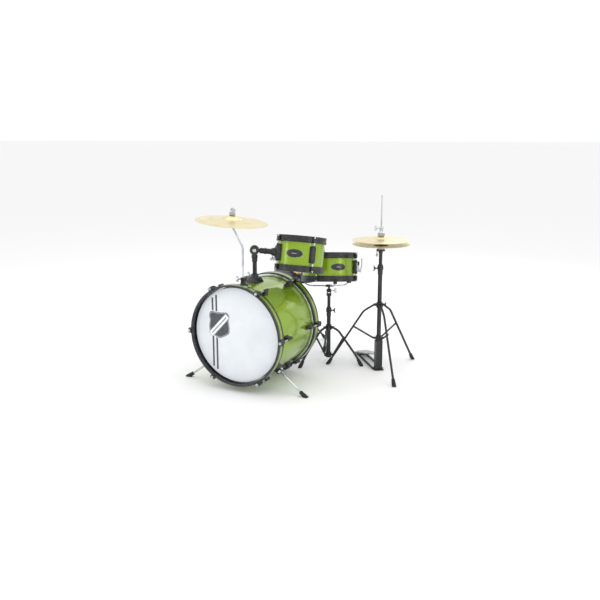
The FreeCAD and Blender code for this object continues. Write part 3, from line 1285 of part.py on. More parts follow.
def hat_press_angle():
    """Footboard's swing that lowers its toe by the hi-hat's travel."""
    run = HAT_HEEL_REACH - HAT_TOE_REACH
    rise = HAT_TOE_HEIGHT - HAT_HEEL_HEIGHT
    length = math.hypot(run, rise)
    return math.degrees(math.asin(rise / length) - math.asin((rise - HAT_TRAVEL) / length))


# ================================================================ bass drum pedal
def pedal_frame():
    """Floor plate, hoop clamp, two posts and the heel's ears."""
    front = BASS_TOTAL - 14
    back = PEDAL_HEEL_Y + 20
    level = PEDAL_PLATE / 2
    rails = []
    for sign in (-1, 1):
        rails.append(box(V(sign * 30, (front + back) / 2, level), 12, back - front, PEDAL_PLATE))
    toe_plate = box(V(0, PEDAL_AXLE_Y - 8, level), PEDAL_WIDTH + 24, 46, PEDAL_PLATE)
    heel_plate = box(V(0, back - 20, level), PEDAL_WIDTH, 40, PEDAL_PLATE)
    clamp = box(V(0, BASS_TOTAL - 2, BASS_FLOOR_GAP / 2), 40, 30, BASS_FLOOR_GAP)
    jaw = box(V(0, BASS_TOTAL - 10, BASS_FLOOR_GAP + BASS_HOOP_WALL + 4.5), 34, 16, 6)
    back_wall = box(V(0, BASS_TOTAL + 6, BASS_FLOOR_GAP + 4), 34, 10, 26)
    posts = []
    for sign in (-1, 1):
        x = sign * (PEDAL_WIDTH / 2 + 2)
        top = PEDAL_AXLE_HEIGHT + 4
        posts.append(box(V(x, PEDAL_AXLE_Y, top / 2), POST_WIDTH, POST_DEPTH, top))
        axle = V(x, PEDAL_AXLE_Y, PEDAL_AXLE_HEIGHT)
        posts.append(rod(axle - V(POST_WIDTH / 2, 0, 0), axle + V(POST_WIDTH / 2, 0, 0), 12.0))
        posts.append(strip([(PEDAL_HEEL_Y, PEDAL_PLATE), (PEDAL_HEEL_Y, PEDAL_HEEL_HEIGHT)], 12, 5))
        posts[-1].rotate(V(0, 0, 0), Z, 90)
        posts[-1].translate(V(sign * 31, 0, 0))
    body = fuse(rails + [toe_plate, heel_plate, clamp, jaw, back_wall] + posts)
    hoop = rod(V(0, BASS_TOTAL - 60, BASS_CENTRE_Z), V(0, BASS_TOTAL + TOUCH, BASS_CENTRE_Z),
               BASS_HOOP_RADIUS + TOUCH)
    free = rod(V(0, BASS_TOTAL - 60, BASS_CENTRE_Z), V(0, BASS_TOTAL + 10, BASS_CENTRE_Z),
               BASS_HOOP_INNER - TOUCH)
    body = body.cut(hoop.cut(free))
    body = body.cut(rod(V(-80, PEDAL_AXLE_Y, PEDAL_AXLE_HEIGHT), V(80, PEDAL_AXLE_Y, PEDAL_AXLE_HEIGHT),
                        AXLE_PIN_RADIUS + RUN_FIT))
    body = body.cut(rod(V(-80, PEDAL_HEEL_Y, PEDAL_HEEL_HEIGHT), V(80, PEDAL_HEEL_Y, PEDAL_HEEL_HEIGHT),
                        HEEL_PIN_RADIUS + RUN_FIT))
    return body


def pedal_footboard():
    """Bass pedal board with its heel pin and the link that runs up to the cam."""
    toe_y = PEDAL_AXLE_Y + 14
    board = pedal_board((PEDAL_HEEL_Y, PEDAL_HEEL_HEIGHT), (toe_y, PEDAL_TOE_HEIGHT), PEDAL_BOARD_WIDTH,
                        BOARD_THICKNESS, HEEL_HUB_RADIUS)
    board.rotate(V(0, 0, 0), Z, 90)
    half = PEDAL_BOARD_WIDTH / 2 + 1
    pin = rod(V(-half, PEDAL_HEEL_Y, PEDAL_HEEL_HEIGHT), V(half, PEDAL_HEEL_Y, PEDAL_HEEL_HEIGHT),
              HEEL_PIN_RADIUS)
    link_y = PEDAL_AXLE_Y + LINK_BEHIND_AXLE
    link = box(V(0, link_y, (PEDAL_TOE_HEIGHT + PEDAL_AXLE_HEIGHT) / 2 - 6), 9, 3,
               PEDAL_AXLE_HEIGHT - PEDAL_TOE_HEIGHT)
    return fuse([board, pin, link])


def beater_direction():
    """Unit vector along the beater's shaft at rest."""
    angle = math.radians(BEATER_BACK)
    return V(0, math.sin(angle), math.cos(angle))


def beater_swing():
    """Swing from rest until the beater meets the rear head."""
    head_y = BASS_TOTAL - BASS_HEAD_RECESS
    reach = PEDAL_AXLE_Y - (head_y + BEATER_RADIUS)
    return BEATER_BACK + math.degrees(math.asin(reach / BEATER_LENGTH)) - BEATER_SHY


def pedal_beater():
    """Axle with its cam and beater rod; the felt head is a second solid."""
    axle_centre = V(0, PEDAL_AXLE_Y, PEDAL_AXLE_HEIGHT)
    half = PEDAL_WIDTH / 2 - 2 - SIDE_GAP
    axle = rod(axle_centre - V(half, 0, 0), axle_centre + V(half, 0, 0), AXLE_RADIUS)
    pin = rod(axle_centre - V(half + 9, 0, 0), axle_centre + V(half + 9, 0, 0), AXLE_PIN_RADIUS)
    cam_side = V(CAM_HALF_WIDTH, 0, 0)
    cam = rod(axle_centre - cam_side, axle_centre + cam_side, CAM_RADIUS)
    along = beater_direction()
    shaft = rod(axle_centre - along * BEATER_TAIL, axle_centre + along * BEATER_LENGTH, BEATER_SHAFT_RADIUS)
    metal = fuse([axle, pin, cam, shaft])
    centre = axle_centre + along * BEATER_LENGTH
    across = along.cross(V(1, 0, 0)) * (BEATER_RADIUS - 0.5)
    head_half = along * BEATER_HEAD_HALF
    head = rod(centre - head_half, centre + head_half, BEATER_RADIUS - 5).cut(shaft)
    front = rod(centre - across, centre + across, BEATER_FACE_RADIUS)
    head = fuse([head, front.cut(shaft)])
    return group([metal, head])


# ================================================================ throne
def throne_axis(height):
    """Point on the throne's axis at the given height."""
    return V(THRONE_X, THRONE_Y, height)


def throne_seat():
    """Round padded seat with soft edges."""
    low = throne_axis(SEAT_TOP - SEAT_THICKNESS)
    pad = rod(low, throne_axis(SEAT_TOP), SEAT_RADIUS)
    edges = [edge for edge in pad.Edges if edge.BoundBox.ZLength < 0.01]
    return pad.makeFillet(SEAT_EDGE_ROUND, edges)


def throne_post():
    """Post with the plate that the seat is screwed on."""
    low = throne_axis(THRONE_TUBE_TOP - 120)
    plate_top = throne_axis(SEAT_TOP - SEAT_THICKNESS - SIDE_GAP)
    top = plate_top - V(0, 0, SEAT_PLATE_THICKNESS)
    plate = rod(top, plate_top, SEAT_PLATE_RADIUS)
    socket = rod(top - V(0, 0, SEAT_SOCKET_LENGTH), top, SEAT_SOCKET_RADIUS)
    return fuse([rod(low, top, THRONE_POST_RADIUS), plate, socket])


def throne_base():
    """Tube with its collars; legs, braces and feet are further solids."""
    pipe = tube(throne_axis(THRONE_PIPE_LOW), throne_axis(THRONE_TUBE_TOP), THRONE_TUBE_RADIUS,
                THRONE_POST_RADIUS + RUN_FIT)
    ring_radius = THRONE_TUBE_RADIUS + THRONE_COLLAR_WALL
    collar = height_collar(THRONE_TUBE_TOP - THRONE_COLLAR, THRONE_TUBE_TOP, ring_radius, THRONE_TUBE_RADIUS,
                           THRONE_SCREW_AZIMUTH)
    collar.translate(throne_axis(0))
    upper = THRONE_UPPER_RING
    lower = THRONE_LOWER_RING
    rings = [tube(throne_axis(level - 12), throne_axis(level + 12), ring_radius, THRONE_TUBE_RADIUS)
             for level in (upper, lower)]
    metal = fuse([pipe, collar] + rings)
    reach = THRONE_FOOT_REACH
    shapes = [metal]
    for azimuth in ring_places(LEG_COUNT, THRONE_LEG_START):
        leg = strip([(THRONE_TUBE_RADIUS + 5, upper), (58, upper - 26), (reach - 8, 22), (reach, 12)],
                    LEG_WIDTH, LEG_THICKNESS)
        brace = strip([(THRONE_TUBE_RADIUS + 5, lower), (92, 111)], BRACE_WIDTH, BRACE_THICKNESS)
        brace.translate(V(0, LEG_THICKNESS / 2 + BRACE_THICKNESS / 2, 0))
        foot = cone(V(reach - 12, 0, 32), V(reach + 6, 0, -4), 9, FOOT_RADIUS + 1)
        foot = foot.cut(box(V(reach, 0, -50), 200, 200, 100)).cut(leg)
        leg = turned(leg, azimuth, throne_axis(0)).cut(metal)
        brace = turned(brace, azimuth, throne_axis(0)).cut(metal)
        shapes += [leg, brace, turned(foot, azimuth, throne_axis(0))]
    return group(shapes)


def stick():
    """Drumstick along +X from its butt, with shoulder and bead."""
    shoulder = STICK_LENGTH * 0.76
    neck = STICK_LENGTH - 13
    profile = [(0, 0), (STICK_RADIUS - 1.5, 0), (STICK_RADIUS, 3), (STICK_RADIUS, shoulder), (3.0, neck),
               (4.8, neck + 5), (4.0, STICK_LENGTH - 2), (0, STICK_LENGTH)]
    body = lathe(profile)
    body.rotate(V(0, 0, 0), V(0, 1, 0), 90)
    return body


def drumsticks():
    """Pair of sticks lying side by side on the seat."""
    rest = SEAT_TOP + STICK_RADIUS + STICK_LIFT
    shapes = []
    for side in (-1, 1):
        across = STICK_OFFSET + side * (STICK_RADIUS + STICK_GAP / 2)
        start = throne_axis(rest) + radial(STICK_AZIMUTH - 90, across) - radial(STICK_AZIMUTH,
                                                                                STICK_LENGTH / 2)
        shapes.append(turned(stick(), STICK_AZIMUTH, start))
    return group(shapes)


# ================================================================ the kit
def build_kit():
    """All nodes by name, in the modelling frame."""
    nodes = {}
    nodes["bass_shell"] = bass_shell()
    nodes["bass_hoop_front"] = bass_hoop()
    nodes["bass_hoop_rear"] = mirrored_rear(bass_hoop())
    nodes["bass_head_front"] = bass_head()
    nodes["bass_head_rear"] = mirrored_rear(bass_head())
    nodes["bass_lugs"] = bass_both_ends(bass_lug)
    nodes["bass_claws"] = bass_both_ends(bass_claw)
    nodes["bass_tension_rods"] = bass_both_ends(bass_tension_rod)
    nodes["spur_brackets"] = group([spur_bracket(1), spur_bracket(-1)])
    nodes["spur_right"] = spur(1)
    nodes["spur_left"] = spur(-1)

    nodes["tom_mount_base"] = tom_mount_base()
    nodes["tom_post"] = tom_post()
    nodes["tom_arm"] = tom_arm()
    nodes["tom_bracket"] = tom_bracket()
    tom = tom_placement()
    nodes["tom_shell"] = placed(small_shell(TOM_SHELL_RADIUS, TOM_SHELL_WALL, TOM_SHELL_LENGTH), tom)
    nodes["tom_heads"] = placed(both_ends(small_head(TOM_SHELL_RADIUS, TOM_SHELL_LENGTH)), tom)
    tom_rim = small_rim(TOM_HOOP_RADIUS, TOM_SHELL_RADIUS, TOM_SHELL_LENGTH, TOM_LUG_START)
    nodes["tom_hoops"] = placed(both_ends(tom_rim), tom)
    tom_lugs = lug_set(TOM_SHELL_RADIUS, TOM_SHELL_LENGTH, TOM_LUG_HEIGHT, TOM_LUG_WIDTH, TOM_LUG_START)
    nodes["tom_lugs"] = placed(tom_lugs, tom)

    nodes["crash_holder"] = crash_holder()
    nodes["crash_rod"] = crash_rod()
    nodes["crash_cymbal"] = crash_cymbal()

    snare = snare_placement()
    nodes["snare_shell"] = placed(small_shell(SNARE_SHELL_RADIUS, SNARE_SHELL_WALL, SNARE_SHELL_LENGTH),
                                  snare)
    nodes["snare_heads"] = placed(both_ends(small_head(SNARE_SHELL_RADIUS, SNARE_SHELL_LENGTH)), snare)
    snare_rim = small_rim(SNARE_HOOP_RADIUS, SNARE_SHELL_RADIUS, SNARE_SHELL_LENGTH, SNARE_LUG_START)
    nodes["snare_hoops"] = placed(both_ends(snare_rim), snare)
    snare_lugs = lug_set(SNARE_SHELL_RADIUS, SNARE_SHELL_LENGTH, SNARE_LUG_HEIGHT, SNARE_LUG_WIDTH,
                         SNARE_LUG_START)
    nodes["snare_lugs"] = placed(snare_lugs, snare)
    nodes["snare_strainer"] = snare_strainer()
    nodes["snare_lever"] = snare_lever()
    nodes["snare_wires"] = snare_wires()

    nodes["snare_stand_tube"] = snare_stand_tube()
    nodes["snare_stand_collar"] = snare_tripod().upper_collar()
    nodes["snare_stand_upper_tube"] = snare_stand_upper()
    nodes["snare_basket"] = snare_basket()

    nodes["hihat_base"] = hat_base()
    nodes["hihat_collar"] = hat_tripod().upper_collar()
    nodes["hihat_upper_tube"] = hat_upper_tube()
    nodes["hihat_pull_rod"] = hat_pull_rod()
    nodes["hihat_clutch"] = hat_clutch()
    nodes["hihat_cymbal_top"] = hat_cymbal_top()
    nodes["hihat_cymbal_bottom"] = hat_cymbal_bottom()
    nodes["hihat_footboard"] = hat_footboard()

    for tripod in (snare_tripod(), hat_tripod()):
        for index, azimuth in enumerate(tripod.azimuths, 1):
            nodes[f"{tripod.name}_leg_{index}"] = tripod.leg(azimuth)
            nodes[f"{tripod.name}_brace_{index}"] = tripod.brace(azimuth)

    nodes["pedal_frame"] = pedal_frame()
    nodes["pedal_footboard"] = pedal_footboard()
    nodes["pedal_beater"] = pedal_beater()
    nodes["throne_seat"] = throne_seat()
    nodes["throne_post"] = throne_post()
    nodes["throne_base"] = throne_base()
    nodes["drumsticks"] = drumsticks()
    return nodes


def kit_shift(nodes):
    """Shift that puts the origin at the bottom centre of the kit's bounding box."""
    whole = FreeCAD.BoundBox()
    for shape in nodes.values():
        whole.add(shape.optimalBoundingBox(False, False))
    return V(-whole.Center.x, -whole.Center.y, -whole.ZMin)


def print_motions():
    """Print the travels that follow from the sizes."""
    for name, tripod in (("snare stand", snare_tripod()), ("hi-hat", hat_tripod())):
        print(f"{name} legs fold {-tripod.fold:.1f} degrees, braces {tripod.brace_swing():.2f}, "
              f"collar {tripod.rise():.2f} mm")
    print(f"hi-hat footboard {hat_press_angle():.3f} degrees for {HAT_TRAVEL} mm")
    print(f"bass pedal footboard {PEDAL_PRESS} degrees, beater {beater_swing():.3f}")
    pivot = lever_pivot()
    axis = lever_axis()
    print(f"strainer lever at {pivot.x:.2f} {pivot.y:.2f} {pivot.z:.2f} along {axis.x:.3f} {axis.y:.3f} {axis.z:.3f}")


def main():
    """Write every node's STEP file and print the travels of the moving pieces."""
    os.makedirs("parts", exist_ok=True)
    nodes = build_kit()
    shift = kit_shift(nodes)
    for name, shape in nodes.items():
        shape.translate(shift)
        shape.exportStep(f"parts/{name}.step")
        solids = len(shape.Solids)
        print(f"{name}: {solids} solids, volume {shape.Volume / 1000:.1f} cm3, valid {shape.isValid()}")
    print(f"{len(nodes)} nodes, shift {shift.x:.3f} {shift.y:.3f} {shift.z:.3f}")
    print_motions()


if __name__ == "__main__":
    main()
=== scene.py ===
"""Looks of a junior acoustic drum kit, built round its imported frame.

Every place comes from the frame: the boxes of its nodes and the axes of its joints.  Sizes are in millimetres
and turn to metres when a mesh is made.  Each sub-assembly is a class that builds its pieces and dresses them.
"""

import json
import logging
import math
from dataclasses import dataclass
from enum import Enum
from typing import Iterable, Optional, Sequence

import bpy
import numpy as np
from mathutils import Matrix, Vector


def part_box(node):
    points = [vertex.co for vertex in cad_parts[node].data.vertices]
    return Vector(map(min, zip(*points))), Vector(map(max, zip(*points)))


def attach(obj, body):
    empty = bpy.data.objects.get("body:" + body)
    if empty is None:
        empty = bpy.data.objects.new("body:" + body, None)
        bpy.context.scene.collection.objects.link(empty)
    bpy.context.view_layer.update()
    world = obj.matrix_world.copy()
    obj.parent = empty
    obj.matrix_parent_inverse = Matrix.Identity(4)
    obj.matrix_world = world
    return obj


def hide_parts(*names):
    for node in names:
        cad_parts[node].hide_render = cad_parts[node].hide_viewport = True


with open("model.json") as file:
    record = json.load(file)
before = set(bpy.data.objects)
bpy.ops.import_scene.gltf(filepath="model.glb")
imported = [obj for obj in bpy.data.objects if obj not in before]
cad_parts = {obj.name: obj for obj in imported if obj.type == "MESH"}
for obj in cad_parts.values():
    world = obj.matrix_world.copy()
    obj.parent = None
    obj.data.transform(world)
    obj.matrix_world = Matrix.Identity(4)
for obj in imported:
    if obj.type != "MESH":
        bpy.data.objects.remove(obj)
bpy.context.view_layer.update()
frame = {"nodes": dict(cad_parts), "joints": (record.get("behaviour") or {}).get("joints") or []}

Array = np.ndarray
Point = Sequence[float]
Tree = bpy.types.NodeTree
Node = bpy.types.Node
Socket = bpy.types.NodeSocket
LOG = logging.getLogger("drum_kit")
METRE = 1000.0
SHARP_EDGE = math.radians(38)
UP = (0.0, 0.0, 1.0)
UPRIGHT = np.array([[1, 0, 0], [0, 0, -1], [0, 1, 0]])
JOINTS = {joint["name"]: joint for joint in frame["joints"]}


# ================================================================ reading the frame
def node_corners(node: str) -> tuple[Array, Array]:
    """Lowest and highest corner of a CAD node in millimetres."""
    low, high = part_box(node)
    return np.array(low) * METRE, np.array(high) * METRE


def node_centre(node: str) -> Array:
    """Middle of a CAD node's box in millimetres."""
    low, high = node_corners(node)
    return (low + high) / 2


def joint_place(name: str) -> Array:
    """Point on a hinge's axis, in millimetres."""
    return np.array(JOINTS[name]["pos_m"]) * METRE


def joint_axis(name: str) -> Array:
    """Unit vector of a joint's axis."""
    return unit(JOINTS[name]["axis"])


# ================================================================ numbers and frames
def unit(vector: Point) -> Array:
    """Vector of length one in the same direction."""
    values = np.asarray(vector, float)
    return values / np.linalg.norm(values)


def turn_about(axis: str, degrees: float) -> Array:
    """Rotation matrix about one of the main axes.

    Args:
        axis: "X", "Y" or "Z".
        degrees: angle, counter-clockwise seen from the axis's tip.

    Returns:
        A 3 by 3 matrix.
    """
    cosine, sine = math.cos(math.radians(degrees)), math.sin(math.radians(degrees))
    first, second = {"X": (1, 2), "Y": (2, 0), "Z": (0, 1)}[axis]
    matrix = np.eye(3)
    matrix[first, first] = matrix[second, second] = cosine
    matrix[first, second], matrix[second, first] = -sine, sine
    return matrix


def turn_round(axis: Point, degrees: float) -> Array:
    """Rotation matrix about any axis: identity, plus sine times the cross matrix, plus (1 - cosine) its square.

    Args:
        axis: the axis.
        degrees: the angle.

    Returns:
        A 3 by 3 matrix.
    """
    x, y, z = unit(axis)
    cross = np.array([[0, -z, y], [z, 0, -x], [-y, x, 0]])
    angle = math.radians(degrees)
    return np.eye(3) + math.sin(angle) * cross + (1 - math.cos(angle)) * cross @ cross


def aim(axis: Point, hint: Point = UP) -> Array:
    """Rotation that carries +Z to an axis, with +X as near to a hint as it can be.

    Args:
        axis: where +Z goes.
        hint: where +X leans.

    Returns:
        A 3 by 3 matrix whose columns are the new axes.
    """
    z = unit(axis)
    lean = np.asarray(hint, float)
    x = lean - lean @ z * z
    if np.linalg.norm(x) < 1e-6:
        x = np.array([1.0, 0.0, 0.0]) - z[0] * z
    x = unit(x)
    return np.stack([x, np.cross(z, x), z], axis=1)


def soften(points: Sequence[Point], radius: float, loop: bool = False, steps: int = 5) -> Array:
    """Outline or path whose corners are rounded.

    Each corner is replaced by the parabola (1-t)^2 A + 2t(1-t) C + t^2 B, where C is the corner, and A and B
    lie
    a radius away from it on its two sides, or 0.45 of the side where that is shorter.

    Args:
        points: corners in order.
        radius: distance from a corner to where its curve starts.
        loop: True where the last corner joins the first.
        steps: points on each curve.

    Returns:
        The points of the rounded line.
    """
    here = np.asarray(points, float)
    before, after = np.roll(here, 1, axis=0), np.roll(here, -1, axis=0)

    def toward(other: Array) -> Array:
        """Start of a corner's curve on the side of its neighbour."""
        length = np.linalg.norm(other - here, axis=1, keepdims=True)
        return here + (other - here) * np.minimum(radius / np.maximum(length, 1e-9), 0.45)

    t = np.linspace(0, 1, steps)[None, :, None]
    start, end = toward(before)[:, None], toward(after)[:, None]
    curve = (1 - t) ** 2 * start + 2 * t * (1 - t) * here[:, None] + t**2 * end
    if loop:
        return curve.reshape(-1, here.shape[1])
    inner = curve[1:-1].reshape(-1, here.shape[1])
    return np.vstack([here[:1], inner, here[-1:]])


def circle(radius: float, count: int = 16) -> Array:
    """Points of a circle: radius times (cosine, sine)."""
    angle = np.arange(count) * 2 * math.pi / count
    return radius * np.stack([np.cos(angle), np.sin(angle)], axis=1)


def rounded_outline(half_x: Array, half_y: Array, corner: Array, steps: int = 5) -> Array:
    """Rounded rectangles: each corner is a quarter circle about a centre drawn in by its radius.

    Args:
        half_x: half widths, one for each outline.
        half_y: half depths.
        corner: corner radii.
        steps: points on each corner.

    Returns:
        Array of outlines by points by 2.
    """
    quarter = np.repeat(np.arange(4), steps)
    angle = quarter * math.pi / 2 + np.tile(np.linspace(0, math.pi / 2, steps), 4)
    sign_x = np.array([1, -1, -1, 1])[quarter]
    sign_y = np.array([1, 1, -1, -1])[quarter]
    x = sign_x * (half_x - corner)[:, None] + corner[:, None] * np.cos(angle)
    y = sign_y * (half_y - corner)[:, None] + corner[:, None] * np.sin(angle)
    return np.stack([x, y], axis=-1)


# ================================================================ forms
@dataclass(frozen=True)
class Form:
    """Surface in millimetres: points, four-sided faces and three-sided faces."""

    points: Array
    quads: Array
    tris: Array

    @classmethod
    def grid(cls, points: Array, loop: bool = False, capped: bool = False,
             tips: Optional[tuple[Array, Array]] = None) -> "Form":
        """Surface over a grid of rows, each a closed ring of points.

        Face (i, j) joins points (i, j), (i+1, j), (i+1, j+1) and (i, j+1), and the last point of a ring
        joins its first.

        Args:
            points: rows by ring by 3.
            loop: True where the last row joins the first.
            capped: True to close both end rings with fans.
            tips: centres of the fans, where they aren't the rings' middles.

        Returns:
            The form, with its faces outwards where it is closed.
        """
        rows, ring = points.shape[:2]
        index = np.arange(rows * ring).reshape(rows, ring)
        along = np.roll(index, -1, axis=0)
        around = np.roll(index, -1, axis=1)
        quads = np.stack([index, along, np.roll(along, -1, axis=1), around], axis=-1)
        if not loop:
            quads = quads[:-1]
        vertices = points.reshape(-1, 3)
        tris = np.zeros((0, 3), int)
        if capped:
            ends = tips if tips is not None else (points[0].mean(axis=0), points[-1].mean(axis=0))
            first = np.full(ring, len(vertices))
            tris = np.vstack([np.stack([first, index[0], around[0]], axis=1),
                              np.stack([first + 1, around[-1], index[-1]], axis=1)])
            vertices = np.vstack([vertices, np.asarray(ends)])
        return cls(vertices, quads.reshape(-1, 4), tris).outward()

    def outward(self) -> "Form":
        """Same form with its faces turned outwards, judged by its signed volume.

        Returns:
            This form, or the same form with its faces turned over.
        """
        corners = self.points - self.points.mean(axis=0)
        halves = np.vstack([self.quads[:, [0, 1, 2]], self.quads[:, [0, 2, 3]], self.tris])
        a, b, c = corners[halves[:, 0]], corners[halves[:, 1]], corners[halves[:, 2]]
        if np.einsum("ij,ij->", a, np.cross(b, c)) >= 0:
            return self
        return Form(self.points, self.quads[:, ::-1], self.tris[:, ::-1])

    def placed(self, rotation: Array, origin: Point = (0.0, 0.0, 0.0)) -> "Form":
        """Form turned by a matrix and carried to an origin."""
        return Form(self.points @ np.asarray(rotation).T + np.asarray(origin, float), self.quads, self.tris)

    def carried(self, origin: Point) -> "Form":
        """Form carried from the origin to a point."""
        return Form(self.points + np.asarray(origin, float), self.quads, self.tris)

    def shifted(self, x: float = 0.0, y: float = 0.0, z: float = 0.0) -> "Form":
        """Form carried along the three axes."""
        return Form(self.points + np.array([x, y, z]), self.quads, self.tris)

    def turned(self, axis: str, degrees: float) -> "Form":
        """Form turned about one of the main axes."""
        return self.placed(turn_about(axis, degrees))

    def mirrored(self, height: float = 0.0) -> "Form":
        """Mirror image in the level plane at a height, with its faces kept outwards."""
        points = self.points * np.array([1, 1, -1]) + np.array([0, 0, 2 * height])
        return Form(points, self.quads[:, ::-1], self.tris[:, ::-1])

    def standing(self) -> "Form":
        """Form whose points under the floor are raised to it, which makes a flat sole.

        Returns:
            The form with a flat sole.
        """
        points = self.points.copy()
        points[:, 2] = np.maximum(points[:, 2], 0.0)
        return Form(points, self.quads, self.tris)


def join(forms: Iterable[Form]) -> Form:
    """One form that holds several.

    Args:
        forms: the forms.

    Returns:
        A form with all their points and faces.
    """
    parts = list(forms)
    starts = np.cumsum([0] + [len(part.points) for part in parts[:-1]])
    return Form(np.vstack([part.points for part in parts]),
                np.vstack([part.quads + start for part, start in zip(parts, starts)]),
                np.vstack([part.tris + start for part, start in zip(parts, starts)]))


def ring_of(form: Form, count: int, first: float = 0.0) -> Form:
    """Copies of a form, evenly spaced round +Z."""
    return join(form.turned("Z", first + index * 360.0 / count) for index in range(count))


def both_ends(form: Form, height: float = 0.0) -> Form:
    """A form and its mirror image in the level plane at a height."""
    return join([form, form.mirrored(height)])


def lathe(profile: Array, segments: int = 64, loop: bool = False) -> Form:
    """Surface of revolution: (radius cos a, radius sin a, height) for each profile point and angle.

    Args:
        profile: (radius, height) points, from axis to axis, or round a closed section.
        segments: number of angles.
        loop: True for a closed section that doesn't meet the axis.

    Returns:
        The form round +Z.
    """
    angle = np.arange(segments) * 2 * math.pi / segments
    radius, height = np.asarray(profile, float).T[:, :, None]
    points = np.stack([radius * np.cos(angle), radius * np.sin(angle), height + 0 * angle], axis=-1)
    if loop:
        return Form.grid(points, loop=True)
    return Form.grid(points[1:-1], capped=True, tips=(points[0, 0], points[-1, 0]))


def turned_bar(profile: Sequence[Point], edge: float = 0.6, segments: int = 32) -> Form:
    """Solid turned piece whose profile's corners are rounded."""
    corners = [(0.0, profile[0][1]), *profile, (0.0, profile[-1][1])]
    return lathe(soften(corners, edge, steps=4), segments)


def collar_ring(inner: float, outer: float, low: float, high: float, edge: float = 0.8,
                segments: int = 64) -> Form:
    """Ring with a rectangular section whose corners are rounded."""
    section = [(inner, low), (outer, low), (outer, high), (inner, high)]
    return lathe(soften(section, edge, loop=True, steps=4), segments, loop=True)


def block(size: Point, corner: float, edge: float = 0.8, taper: Point = (0.0, 0.0), steps: int = 4) -> Form:
    """Box with rounded upright corners and rounded rims, centred on the origin.

    The outline at each level is a rounded rectangle drawn in by edge (1 - sine) near the bottom and the top,
    and
    narrowed in step with the height by the taper.

    Args:
        size: width, depth and height.
        corner: radius of the upright corners.
        edge: radius of the rims.
        taper: how much narrower the top is on each side, in x and in y.
        steps: levels in each rim.

    Returns:
        The form.
    """
    turn = np.linspace(0, math.pi / 2, steps)
    inset = edge * (1 - np.sin(turn))
    level = -size[2] / 2 + edge * (1 - np.cos(turn))
    inset = np.concatenate([inset, inset[::-1]])
    level = np.concatenate([level, -level[::-1]])
    share = level / size[2] + 0.5
    radius = np.maximum(corner - inset, 0.25)
    outline = rounded_outline(size[0] / 2 - inset - taper[0] * share, size[1] / 2 - inset - taper[1] * share,
                              radius)
    heights = np.broadcast_to(level[:, None, None], outline.shape[:2] + (1,))
    return Form.grid(np.concatenate([outline, heights], axis=-1), capped=True)


def plate(outline: Array, low: float, high: float, hub: Optional[Point] = None) -> Form:
    """Flat piece with an outline in x and y, between two heights.

    Args:
        outline: points round the piece, all of them in sight of its middle.
        low: height of the underside.
        high: height of the top.
        hub: middle point, where it isn't the mean of the outline.

    Returns:
        The form.
    """
    flat = np.asarray(outline, float)
    middle = flat.mean(axis=0) if hub is None else np.asarray(hub, float)
    rows = np.stack([np.column_stack([flat, np.full(len(flat), level)]) for level in (low, high)])
    return Form.grid(rows, capped=True, tips=(np.append(middle, low), np.append(middle, high)))


def sweep(path: Array, section: Array, normal: Point = UP, scale: Optional[Array] = None) -> Form:
    """Closed section carried along a path.

    At each point the side is the cross product of the path's direction and the normal, and the lift that of the
    side and the direction; the ring is the point plus the section's x times the side and its y times the lift.

    Args:
        path: points of the centre line.
        section: ring of (side, lift) points.
        normal: a direction that the path never takes; for a flat path, its plane's normal.
        scale: size of the section at each point.

    Returns:
        The form, closed at both ends.
    """
    line = np.asarray(path, float)
    direction = np.gradient(line, axis=0)
    direction /= np.linalg.norm(direction, axis=1, keepdims=True)
    side = np.cross(direction, np.asarray(normal, float))
    side /= np.linalg.norm(side, axis=1, keepdims=True)
    lift = np.cross(side, direction)
    size = np.ones(len(line)) if scale is None else np.asarray(scale, float)
    ring = section[None, :, 0:1] * side[:, None] + section[None, :, 1:2] * lift[:, None]
    return Form.grid(line[:, None] + size[:, None, None] * ring, capped=True)


def bar(start: Point, end: Point, radius: float, edge: float = 0.5, segments: int = 20) -> Form:
    """Straight round bar with rounded rims between two points.

    Args:
        start: one end.
        end: the other end.
        radius: its radius.
        edge: rounding of the rims.
        segments: number of angles.

    Returns:
        The form.
    """
    first, last = np.asarray(start, float), np.asarray(end, float)
    length = float(np.linalg.norm(last - first))
    return turned_bar([(radius, 0), (radius, length)], edge, segments).placed(aim(last - first), first)


def wing_screw(shank: float, span: float) -> Form:
    """Wing screw along +Z from its seat at the origin: shank, hub and two flat wings that lean outwards.

    Args:
        shank: length from the seat to the hub.
        span: distance over both wings.

    Returns:
        The form.
    """
    hub = turned_bar([(3.0, 0), (3.0, shank), (5.0, shank), (4.4, shank + 8), (2.6, shank + 9.5)], 0.8, 24)
    blade = block((span * 0.42, 2.6, 11.0), 1.2, 1.0, (-0.8, 0.2))
    wings = [blade.turned("Y", side * 24).shifted(side * span * 0.27, 0, shank + 9) for side in (-1, 1)]
    return join([hub, *wings])


# ================================================================ finishes
class Slot(Enum):
    """The record's material slots."""

    GREEN_LACQUER = "green_lacquer"
    BLACK_LACQUER = "black_lacquer"
    HEAD_FILM = "head_film"
    BLACK_PLASTIC = "black_plastic"
    BLACK_STEEL = "black_steel"
    CHROME = "chrome"
    CYMBAL_BRASS = "cymbal_brass"
    BLACK_VINYL = "black_vinyl"
    HICKORY = "hickory"


def linear(colour: str) -> tuple[float, float, float, float]:
    """Linear colour of an sRGB hex value: v/12.92 in the dark part and ((v+0.055)/1.055)^2.4 above it.

    Args:
        colour: such as "#8fa82a".

    Returns:
        Red, green, blue and alpha.
    """
    values = [int(colour[place:place + 2], 16) / 255 for place in (1, 3, 5)]
    red, green, blue = (v / 12.92 if v <= 0.04045 else ((v + 0.055) / 1.055) ** 2.4 for v in values)
    return red, green, blue, 1.0


